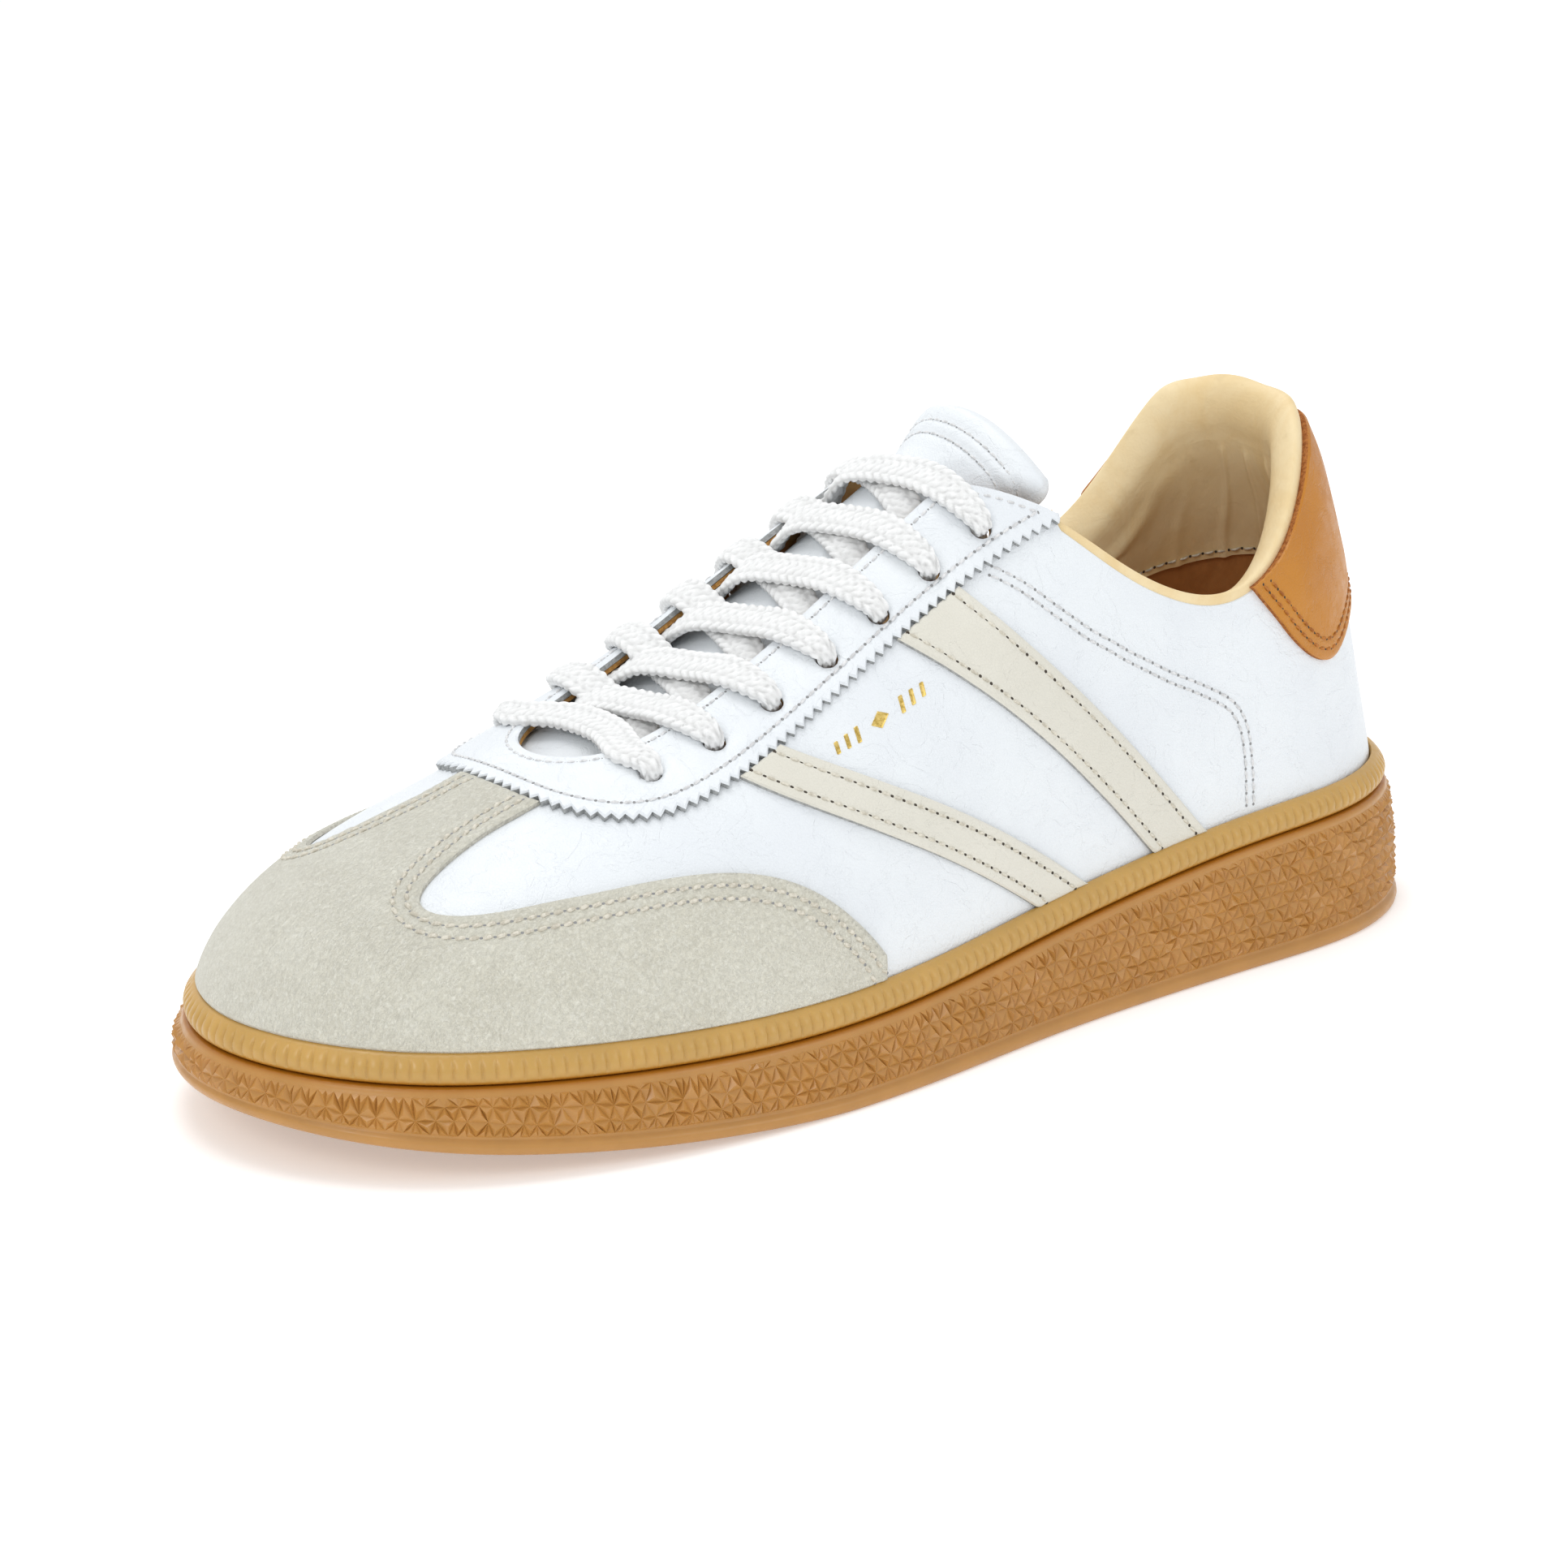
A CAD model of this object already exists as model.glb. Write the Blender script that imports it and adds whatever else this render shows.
"""Looks for the court shoe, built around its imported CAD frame.

The upper is one curved surface, the same one as in the CAD part: an outline index k runs round the
sole (0 heel, 11 toe, lateral side first) and t runs up each rib from the rand to the spine. Every
piece of leather is a region of it with a thickness, so its seams, holes and edges lie exactly on it.
Lengths here are in millimetres in the drawing frame, and to_row turns them into the frame's metres.
"""

import math
from collections import defaultdict
from itertools import product

import bpy
import numpy as np
from mathutils import Matrix, Vector
from mathutils.geometry import delaunay_2d_cdt
from mathutils.kdtree import KDTree


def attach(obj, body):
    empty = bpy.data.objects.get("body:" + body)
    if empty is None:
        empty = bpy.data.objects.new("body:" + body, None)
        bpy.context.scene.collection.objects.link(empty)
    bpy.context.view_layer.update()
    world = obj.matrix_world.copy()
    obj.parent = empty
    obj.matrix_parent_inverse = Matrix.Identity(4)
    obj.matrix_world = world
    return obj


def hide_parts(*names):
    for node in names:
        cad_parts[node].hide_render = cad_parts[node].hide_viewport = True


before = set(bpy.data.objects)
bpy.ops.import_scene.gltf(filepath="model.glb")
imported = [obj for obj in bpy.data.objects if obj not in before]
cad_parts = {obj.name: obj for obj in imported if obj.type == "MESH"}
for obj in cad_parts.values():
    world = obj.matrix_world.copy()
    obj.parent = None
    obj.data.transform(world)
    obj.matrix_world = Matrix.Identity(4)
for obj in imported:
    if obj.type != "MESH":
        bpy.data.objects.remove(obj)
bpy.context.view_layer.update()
MIDDLE = np.array([149.0, 1.02, 0.0])


def to_row(points):
    """Drawing millimetres to metres in the row frame."""
    return (np.asarray(points, float) - MIDDLE) * 0.001


# ---------------------------------------------------------------- camera
AZIMUTH = math.radians(37.3)
ELEVATION = math.radians(17.73)
ROLL = -0.00663
DISTANCE = 850.0
TARGET = np.array([150.0, 0.0, 40.0])
LENS = 93.24
SENSOR_WIDTH = 36.0
SHIFT = (-0.0316, 0.0182)


def add_camera():
    """The camera at the picture's viewing angle."""
    back = np.array([
        math.sin(AZIMUTH) * math.cos(ELEVATION),
        math.cos(AZIMUTH) * math.cos(ELEVATION),
        math.sin(ELEVATION),
    ])
    right = np.array([-math.cos(AZIMUTH), math.sin(AZIMUTH), 0.0])
    up = np.cross(back, right)
    c, s = math.cos(ROLL), math.sin(ROLL)
    data = bpy.data.cameras.new("camera")
    data.lens = LENS
    data.sensor_width = SENSOR_WIDTH
    data.shift_x, data.shift_y = SHIFT
    data.clip_end = 20.0
    camera = bpy.data.objects.new("camera", data)
    axes = np.stack([right * c - up * s, right * s + up * c, back], axis=1)
    place = Matrix.Translation(to_row(TARGET + back * DISTANCE))
    camera.matrix_world = place @ Matrix(axes.tolist()).to_4x4()
    bpy.context.scene.collection.objects.link(camera)
    bpy.context.scene.camera = camera


add_camera()

# ---------------------------------------------------------------- the surface of the upper
# Outline of the sole's top edge: control points of a closed uniform cubic B-spline.
OUTLINE = np.array([
    [-2.5, 0], [7, 23.5], [32.5, 38], [64, 39], [97, 41], [130, 44.5], [162, 51], [191.5, 54.5],
    [222, 53.5], [247, 49.5], [282, 37.5], [305, -2.5], [282.5, -43], [247, -52.5], [222, -52],
    [191.5, -46], [162.5, -38], [130, -33], [97, -34], [64, -37], [32.5, -37], [6.5, -25.5],
])
SPANS = len(OUTLINE)
TOE = SPANS / 2
# Profiles along the shoe: cubic B-spline values every PROFILE_STEP, the first one at -PROFILE_STEP.
PROFILE_STEP = 30.0
LEDGE_HEIGHT = [28.5, 28.5, 28.3, 27.5, 24.8, 21.2, 17.8, 16, 16.1, 17.5, 18.9, 20.4, 21.6]
SPINE_HEIGHT = [155, 150, 146, 142, 134, 119, 99, 79.5, 66, 60, 55, 50, 45]
SPINE_SIDE = [0, 0, 0, -1.5, -5, -7.5, -7.5, -6.5, -5, -4, -4, -4, -4]
TOE_SPRING_START = 185.0
TOE_SPRING_SLOPE = 0.093
TOE_SPRING_EASE = 30.0
RAND_RISE = 5.4
UPPER_INSET = 4.1
HEEL_STATION = 60.0
THROAT_STATION = 205.5
STATION_EASE = 12.0
RIB_RISE = 0.56
RIB_CROWN = 0.56
HEEL_LEAN = 14
TOE_LEAN = 9
TOE_SLIMMING = 0.18
INSTEP_BULGE = 7
INSTEP_RISE = 0.16
INSTEP_CROWN = 0.42
LACE_GAP = 16.5
EYELET_INDEX = [7.93, 7.2, 6.65, 6.16, 5.72, 5.3, 4.88]
EYELET_REACH = 26.8
EYELET_SPREAD = 0.45
HOLE_RADIUS = 2.3
EYESTAY_REACH = [29.3, 27.2, 29.3, 34.8, 38.6, 36.3, 34.8, 35.2, 40, 44]
EYESTAY_END = 4.35
EYESTAY_OVERLAP = 3.5
# Heights along the collar, cubic B-spline values every TOPLINE_STEP of the index from the heel.
TOPLINE_STEP = 0.5
TOPLINE_LATERAL = [112.7, 112.1, 111.9, 111.3, 107, 97, 84.7, 79, 82, 91, 106, 114, 118]
TOPLINE_MEDIAL = [113.5, 111.5, 113.5, 114, 112.3, 112, 101, 85, 79.2, 90, 106, 114, 118]
TAB_EDGE = [71, 71.5, 71, 70, 66, 58.5, 67.5, 90, 100]
TAB_END = 2.82
PADDING_DEPTH = 38.0
PADDING_END = 4.2


def smooth(x, a, b):
    """0 below a, 1 above b, eased between."""
    u = np.clip((np.asarray(x, float) - a) / (b - a), 0.0, 1.0)
    return u * u * (3 - 2 * u)


def weights(f):
    """The four weights of a uniform cubic B-spline."""
    before, after = (3 * f**3 - 6 * f**2 + 4) / 6, (-3 * f**3 + 3 * f**2 + 3 * f + 1) / 6
    return [(1 - f) ** 3 / 6, before, after, f**3 / 6]


def profile(values, x, step):
    """A cubic B-spline whose first value lies one step before zero."""
    values = np.asarray(values, float)
    u = np.clip(np.asarray(x, float) / step + 1, 1, len(values) - 2 - 1e-6)
    i = np.floor(u).astype(int)
    return sum(w * values[i + j - 1] for j, w in enumerate(weights(u - i)))


def along_shoe(values, x):
    return profile(values, x, PROFILE_STEP)


def from_heel(k):
    k = np.mod(k, SPANS)
    return np.minimum(k, SPANS - k)


def from_toe(k):
    return np.abs(np.mod(k, SPANS) - TOE)


def outline(k):
    k = np.asarray(k, float)
    i = np.floor(k).astype(int)
    return sum(w[..., None] * OUTLINE[(i + j - 1) % SPANS] for j, w in enumerate(weights(k - i)))


def sole_edge(k, inset):
    """The sole's outline moved inwards."""
    along = outline(k + 1e-3) - outline(k - 1e-3)
    along /= np.linalg.norm(along, axis=-1, keepdims=True)
    inset = np.asarray(inset, float)[..., None]
    return outline(k) + np.stack([along[..., 1], -along[..., 0]], -1) * inset


def ledge(x):
    return along_shoe(LEDGE_HEIGHT, x)


def sole_bottom(x):
    """Height of the sole's underside, which springs up towards the toe."""
    ahead = np.maximum(0, x - TOE_SPRING_START)
    return TOE_SPRING_SLOPE * ahead * ahead / (ahead + TOE_SPRING_EASE)


def swell(k, centre, width):
    """A smooth hump of height 1 round an outline index."""
    d = np.mod(np.asarray(k, float) - centre + TOE, SPANS) - TOE
    return np.exp(-((d / width) ** 2))


def softplus(x):
    return STATION_EASE * np.logaddexp(0, x / STATION_EASE)


def spine_station(x):
    return HEEL_STATION + softplus(x - HEEL_STATION) - softplus(x - THROAT_STATION)


THROAT_SLOPE = float(
    along_shoe(SPINE_HEIGHT, THROAT_STATION - 2) - along_shoe(SPINE_HEIGHT, THROAT_STATION + 2)
) / 4


def rib(k):
    """The four Bezier points of the rib at outline index k."""
    k = np.asarray(k, float)
    edge = sole_edge(k, UPPER_INSET)
    foot = np.concatenate([edge, (ledge(outline(k)[..., 0]) + RAND_RISE)[..., None]], -1)
    station = spine_station(foot[..., 0])
    crest = np.stack([station, along_shoe(SPINE_SIDE, station), along_shoe(SPINE_HEIGHT, station)], -1)
    out = (foot - crest)[..., :2]
    width = np.linalg.norm(out, axis=-1)
    out = out / width[..., None]
    instep, toe = swell(k, 15.8, 2.3), swell(k, 12.5, 1.9)
    lean = HEEL_LEAN * swell(k, 0, 3.2) + TOE_LEAN * toe - INSTEP_BULGE * instep
    rise = (RIB_RISE + INSTEP_RISE * instep) * (crest[..., 2] - foot[..., 2])
    crown = (RIB_CROWN - TOE_SLIMMING * toe + INSTEP_CROWN * instep) * width
    drop = THROAT_SLOPE * np.maximum(0, out[..., 0]) * crown
    low = foot + np.stack([-out[..., 0] * lean, -out[..., 1] * lean, rise], -1)
    high = crest + np.stack([out[..., 0] * crown, out[..., 1] * crown, -drop], -1)
    return foot, low, high, crest


def upper(k, t):
    """The point of the upper at outline index k and height t."""
    foot, low, high, crest = rib(k)
    t = np.asarray(t, float)[..., None]
    s = 1 - t
    return s**3 * foot + 3 * s * s * t * low + 3 * s * t * t * high + t**3 * crest


def unit(v):
    return v / np.maximum(np.linalg.norm(v, axis=-1, keepdims=True), 1e-12)


def upper_normal(k, t):
    t = np.clip(t, 0.006, 0.994)
    dk = upper(k + 0.01, t) - upper(k - 0.01, t)
    dt = upper(k, t + 0.005) - upper(k, t - 0.005)
    return unit(np.cross(dt, dk))


K_TABLE = np.linspace(0, SPANS, 1761)
REACH_TABLE = np.arange(0.0, 110.0, 0.5)


def reach_tables():
    """t at every index of K_TABLE and every reach of REACH_TABLE."""
    t = np.linspace(1, 0, 161)
    points = upper(K_TABLE[:, None], np.broadcast_to(t, (len(K_TABLE), len(t))))
    steps = np.linalg.norm(np.diff(points, axis=1), axis=-1)
    reach = np.concatenate([np.zeros((len(K_TABLE), 1)), np.cumsum(steps, axis=1)], axis=1)
    return np.stack([np.interp(REACH_TABLE, row, t) for row in reach])


T_AT_REACH = reach_tables()


def at_reach(k, reach):
    """t where the rib k is this far from the spine, measured along the leather."""
    k, reach = np.broadcast_arrays(np.mod(np.asarray(k, float), SPANS), np.asarray(reach, float))
    a = k / (K_TABLE[1] - K_TABLE[0])
    b = np.clip(reach, 0, REACH_TABLE[-1] - 1e-6) / (REACH_TABLE[1] - REACH_TABLE[0])
    i = np.minimum(a.astype(int), len(K_TABLE) - 2)
    j = np.minimum(b.astype(int), len(REACH_TABLE) - 2)
    f, g = a - i, b - j
    near = T_AT_REACH[i, j] * (1 - g) + T_AT_REACH[i, j + 1] * g
    far = T_AT_REACH[i + 1, j] * (1 - g) + T_AT_REACH[i + 1, j + 1] * g
    return near * (1 - f) + far * f


def arc_length(points):
    """Distance along a line at each of its points."""
    return np.concatenate([[0], np.cumsum(np.linalg.norm(np.diff(points, axis=0), axis=1))])


def solve(f, low, high):
    """Root of an increasing function of arrays between two bounds."""
    low, high = np.array(low, float), np.array(high, float)
    for _ in range(40):
        middle = (low + high) / 2
        below = f(middle) < 0
        low = np.where(below, middle, low)
        high = np.where(below, high, middle)
    return (low + high) / 2


def at_height(k, z):
    k, z = np.broadcast_arrays(np.asarray(k, float), np.asarray(z, float))
    return solve(lambda t: upper(k, t)[..., 2] - z, np.zeros(k.shape), np.ones(k.shape))


def tabulated(f):
    """f(k) read from a table of the whole outline."""
    values = f(K_TABLE)
    return lambda k: np.interp(np.mod(k, SPANS), K_TABLE, values)


def topline(k):
    lateral = profile(TOPLINE_LATERAL, from_heel(k), TOPLINE_STEP)
    medial = profile(TOPLINE_MEDIAL, from_heel(k), TOPLINE_STEP)
    return np.where(np.mod(k, SPANS) < TOE, lateral, medial)


def tab_edge(k):
    return profile(TAB_EDGE, from_heel(k), TOPLINE_STEP)


def eyestay_reach(k):
    return profile(EYESTAY_REACH, from_toe(k), 1)


def foot_height(k):
    return ledge(outline(k)[..., 0]) + RAND_RISE


above_rand = tabulated(lambda k: at_height(k, foot_height(k) + 0.3))
above_board = tabulated(lambda k: at_height(k, foot_height(k) + 0.9))
under_eyestay = tabulated(lambda k: at_reach(k, eyestay_reach(k) - EYESTAY_OVERLAP))
beside_eyestay = tabulated(lambda k: at_reach(k, eyestay_reach(k) + 0.3))
collar_top = tabulated(lambda k: at_height(k, topline(k)))
quarter_edge = tabulated(lambda k: at_height(k, topline(k) - 1.2))


# ---------------------------------------------------------------- small tools
def noise(points, size, seed=0):
    """Smooth value noise from -1 to 1, with features of this size in mm."""
    q = np.asarray(points, float) / size + 1000.0 + 17.3 * seed
    i = np.floor(q).astype(np.int64)
    f = q - i
    f = f * f * (3 - 2 * f)
    total = 0
    for corner in product((0, 1), repeat=3):
        c = i + np.array(corner)
        h = (c[..., 0] * 73856093) ^ (c[..., 1] * 19349663) ^ (c[..., 2] * 83492791)
        h = (h ^ (h >> 13)) * 1274126177 & 0xFFFFFFFF
        weight = np.prod(np.where(np.array(corner) == 1, f, 1 - f), axis=-1)
        total = total + weight * ((h >> 8 & 0xFFFF) / 65535.0)
    return total * 2 - 1


def build(name, points, faces, looks, face_looks=None, crease=38):
    """A mesh object from drawing points in mm and lists of face arrays (quads and triangles)."""
    mesh = bpy.data.meshes.new(name)
    faces = [np.asarray(f, int) for f in faces if len(f)]
    sizes = np.concatenate([np.full(len(f), f.shape[1]) for f in faces])
    loops = np.concatenate([f.ravel() for f in faces])
    mesh.vertices.add(len(points))
    mesh.vertices.foreach_set("co", to_row(points).astype(np.float32).ravel())
    mesh.loops.add(len(loops))
    mesh.loops.foreach_set("vertex_index", loops.astype(np.int32))
    mesh.polygons.add(len(sizes))
    starts = np.concatenate([[0], np.cumsum(sizes)[:-1]])
    mesh.polygons.foreach_set("loop_start", starts.astype(np.int32))
    for look in looks:
        mesh.materials.append(look)
    if face_looks is not None:
        mesh.polygons.foreach_set("material_index", np.concatenate(face_looks).astype(np.int32))
    mesh.update(calc_edges=True)
    mesh.validate()
    mesh.polygons.foreach_set("use_smooth", np.ones(len(mesh.polygons), bool))
    if crease:
        mesh.set_sharp_from_angle(angle=math.radians(crease))
    obj = bpy.data.objects.new(name, mesh)
    bpy.context.scene.collection.objects.link(obj)
    return obj


def settle(obj, nodes=(), body="shoe"):
    """Rides a piece on its body, and says which CAD nodes and which slot it stands for."""
    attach(obj, body)
    if nodes:
        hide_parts(*nodes)
    return obj


def clip_grid(u, v, keep):
    """The part of a grid where keep is positive: its (u, v) vertices, its quads and its triangles."""
    uv = np.stack(np.meshgrid(u, v, indexing="ij"), -1).reshape(-1, 2)
    ids = np.arange(len(uv)).reshape(len(u), len(v))
    value = np.ones(len(uv)) if keep is None else np.array(keep(uv[:, 0], uv[:, 1]), float)
    pairs = np.concatenate([
        np.stack([ids[:-1].ravel(), ids[1:].ravel()], 1),
        np.stack([ids[:, :-1].ravel(), ids[:, 1:].ravel()], 1),
        np.stack([ids[:-1, :-1].ravel(), ids[1:, 1:].ravel()], 1),
    ])
    pairs = pairs[(value[pairs[:, 0]] > 0) != (value[pairs[:, 1]] > 0)]
    if len(pairs):
        # grid points next to the cut move onto it, which leaves no slivers
        a, b = pairs.T
        f = value[a] / (value[a] - value[b])
        cut = uv[a] + (uv[b] - uv[a]) * f[:, None]
        near, far = f < 0.3, f > 0.7
        who = np.concatenate([a[near], b[far]])
        where = np.concatenate([cut[near], cut[far]])
        order = np.argsort(-np.concatenate([f[near], 1 - f[far]]))
        uv[who[order]] = where[order]
        value[who] = 0
    sign = np.sign(value)
    cells = np.stack([ids[:-1, :-1], ids[1:, :-1], ids[1:, 1:], ids[:-1, 1:]], -1).reshape(-1, 4)
    signs = sign[cells]
    whole = (signs >= 0).all(1) & (signs > 0).any(1)
    partly = (signs > 0).any(1) & ~whole
    extra, cuts, triangles = [], {}, []

    def cut_vertex(p, q):
        key = (min(p, q), max(p, q))
        if key not in cuts:
            a, b = key
            f = value[a] / (value[a] - value[b])
            cuts[key] = len(uv) + len(extra)
            extra.append(uv[a] + (uv[b] - uv[a]) * f)
        return cuts[key]

    for a, b, c, d in cells[partly]:
        for corners in ((a, b, c), (a, c, d)):
            polygon = []
            if not any(sign[p] > 0 for p in corners):
                continue
            for n, p in enumerate(corners):
                q = corners[(n + 1) % 3]
                if sign[p] >= 0:
                    polygon.append(p)
                if sign[p] * sign[q] < 0:
                    polygon.append(cut_vertex(p, q))
            triangles += [[polygon[0], polygon[n - 1], polygon[n]] for n in range(2, len(polygon))]
    if extra:
        uv = np.concatenate([uv, np.array(extra)])
    quads = cells[whole]
    triangles = np.array(triangles, int).reshape(-1, 3)
    used = np.unique(np.concatenate([quads.ravel(), triangles.ravel()]))
    place = np.full(len(uv), -1)
    place[used] = np.arange(len(used))
    return uv[used], place[quads], place[triangles]


def rim(quads, triangles):
    """The directed edges that only one face has."""
    sides = [np.stack([f[:, i], f[:, (i + 1) % f.shape[1]]], 1)
             for f in (quads, triangles) if len(f) for i in range(f.shape[1])]
    sides = np.concatenate(sides)
    top = sides.max() + 1
    key = sides[:, 0] * top + sides[:, 1]
    back = sides[:, 1] * top + sides[:, 0]
    return sides[~np.isin(key, back)]


def distance_to(points, samples):
    tree = KDTree(len(samples))
    for i, p in enumerate(samples):
        tree.insert(p, i)
    tree.balance()
    return np.array([tree.find(p)[2] for p in points])


class Shell:
    """A sheet of leather or cloth on a surface, with a rounded edge and its own relief.

    place(u, v) gives points and normals, keep(u, v) is positive on the material, and relief gets the
    points, the distance to the nearest free edge and (u, v), and says how far the face stands out
    there. floor says the same of the back, and free(u, v) picks the free edges, where not all of
    them are. outer and inner are how far the face and the back stand out, and edge is how far in
    from its rim the face is rounded.
    """

    def __init__(self, u, v, place, keep=None, outer=1.5, inner=0.4, edge=0.5, relief=None, floor=None,
                 free=None):
        uv, quads, triangles = clip_grid(np.asarray(u, float), np.asarray(v, float), keep)
        points, normals = place(uv[:, 0], uv[:, 1])
        probe = quads[:, [0, 1, 2]] if len(quads) else triangles
        corner, ahead, beyond = (points[probe[:, i]] for i in range(3))
        cross = np.cross(ahead - corner, beyond - corner)
        if (cross * normals[probe[:, 0]]).sum() < 0:
            quads, triangles = quads[:, ::-1], triangles[:, ::-1]
        border = rim(quads, triangles)
        a, b = points[border[:, 0]], points[border[:, 1]]
        samples = np.concatenate([a + (b - a) * f for f in (0, 0.25, 0.5, 0.75)])
        depth = distance_to(points, samples)
        depth[np.unique(border)] = 0
        round_off = edge * (1 - np.sqrt(1 - (1 - np.minimum(depth / max(edge, 1e-6), 1)) ** 2))
        top = outer - round_off
        if free is not None:
            middle = (uv[border[:, 0]] + uv[border[:, 1]]) / 2
            chosen = np.tile(free(middle[:, 0], middle[:, 1]), 4)
            depth = distance_to(points, samples[chosen])
        if relief is not None:
            top = top + relief(points, depth, uv[:, 0], uv[:, 1])
        bottom = inner if floor is None else inner + floor(points, depth, uv[:, 0], uv[:, 1])
        self.uv, self.quads, self.triangles, self.border = uv, quads, triangles, border
        self.normals, self.depth = normals, depth
        self.face = points + normals * np.reshape(top * np.ones(len(points)), (-1, 1))
        self.back = points + normals * np.reshape(bottom * np.ones(len(points)), (-1, 1))

    def make(self, name, looks, crease=38):
        """The closed mesh: face, back and edge, the edge in the second look."""
        n = len(self.face)
        a, b = self.border.T
        walls = np.stack([b, a, a + n, b + n], 1)
        back = [self.quads[:, ::-1] + n, self.triangles[:, ::-1] + n]
        faces = [self.quads, self.triangles, *back, walls]
        indices = [np.zeros(len(f)) for f in faces[:4]] + [np.full(len(walls), len(looks) - 1)]
        kept = [i for i, f in enumerate(faces) if len(f)]
        points = np.concatenate([self.face, self.back])
        return build(name, points, [faces[i] for i in kept], looks, [indices[i] for i in kept], crease)

    def piece(self, name, looks, nodes=(), body="shoe"):
        """The mesh, given its looks by name and settled on its body."""
        return settle(self.make(name, [LOOKS[look] for look in looks.split()]), nodes, body)

    def seams(self, distances, where=None, field=None):
        """The lines of several rows of stitches."""
        return [line for distance in distances for line in self.seam(distance, where, field)]

    def seam(self, distance, where=None, field=None):
        """Lines on the face at this distance from its edge, as (points, normals)."""
        value = self.depth if field is None else field(self.uv[:, 0], self.uv[:, 1])
        triangles = np.concatenate([self.quads[:, [0, 1, 2]], self.quads[:, [0, 2, 3]], self.triangles])
        side = value > distance
        mixed = side[triangles].any(1) & ~side[triangles].all(1)
        links = defaultdict(list)
        for corners in triangles[mixed]:
            cut = [tuple(sorted((int(corners[i]), int(corners[i - 2])))) for i in range(3)
                   if side[corners[i]] != side[corners[i - 2]]]
            links[cut[0]].append(cut[1])
            links[cut[1]].append(cut[0])
        data = np.concatenate([self.face, self.normals, self.uv], 1)
        spots = {}
        for a, b in links:
            f = (distance - value[a]) / (value[b] - value[a])
            spots[(a, b)] = data[a] + (data[b] - data[a]) * f
        if where is not None:
            good = {key for key, row in spots.items() if where(row[:3], row[6], row[7])}
        else:
            good = set(spots)
        near = {key: [n for n in links[key] if n in good] for key in good}
        lines, seen = [], set()
        for start in sorted(good, key=lambda key: (len(near[key]), key)):
            if start in seen:
                continue
            chain, here = [start], start
            seen.add(start)
            while True:
                ahead = [n for n in near[here] if n not in seen]
                if not ahead:
                    break
                here = ahead[0]
                seen.add(here)
                chain.append(here)
            rows = np.array([spots[key] for key in chain])
            if len(rows) > 8:
                if start in near[here]:
                    rows = np.concatenate([rows, rows[:1]])
                lines.append((rows[:, :3], rows[:, 3:6]))
        return lines


def even(points, normals, step, soften=0.0):
    """A line resampled every step mm, after a running mean over soften mm."""
    def resample(count):
        """The line with this many evenly spaced points."""
        length = arc_length(points)
        at = np.linspace(0, length[-1], count)
        pick = lambda a: np.stack([np.interp(at, length, a[:, i]) for i in range(3)], 1)
        return pick(points), pick(normals)

    total = np.linalg.norm(np.diff(points, axis=0), axis=1).sum()
    if soften:
        points, normals = resample(max(8, int(total / 0.4)))
        reach = int(soften / 0.4)
        if len(points) > 2 * reach + 2:
            kernel = np.ones(2 * reach + 1) / (2 * reach + 1)
            for _ in range(2):
                for a in (points, normals):
                    padded = np.concatenate([2 * a[:1] - a[reach:0:-1], a, 2 * a[-1:] - a[-2:-reach - 2:-1]])
                    a[:] = np.stack([np.convolve(padded[:, i], kernel, "valid") for i in range(3)], 1)
    total = np.linalg.norm(np.diff(points, axis=0), axis=1).sum()
    points, normals = resample(max(2, round(total / step) + 1))
    return points, unit(normals)


def beside(points, normals, distance):
    """A line moved sideways along the surface."""
    points, normals = even(np.array(points), np.array(normals), 0.8, soften=1.6)
    side = unit(np.cross(normals, np.gradient(points, axis=0)))
    return points + side * distance, normals


STITCH_SIDES = 6
# One stitch, ring by ring: place along it, size, and lift from its middle line in thread radii.
STITCH_RINGS = np.array([
    [-1, 0.25, -1.0], [-0.86, 0.8, -0.3], [-0.5, 1, 0.35], [0, 1.05, 0.6], [0.5, 1, 0.35], [0.86, 0.8, -0.3],
    [1, 0.25, -1.0],
])
STITCH_FLATNESS = 0.85


def tube_quads(grid):
    """The faces of a tube whose rings are the rows of a grid of vertex numbers."""
    ahead = np.roll(grid, -1, axis=1)
    return np.stack([grid[:-1], ahead[:-1], ahead[1:], grid[1:]], -1).reshape(-1, 4)


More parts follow.
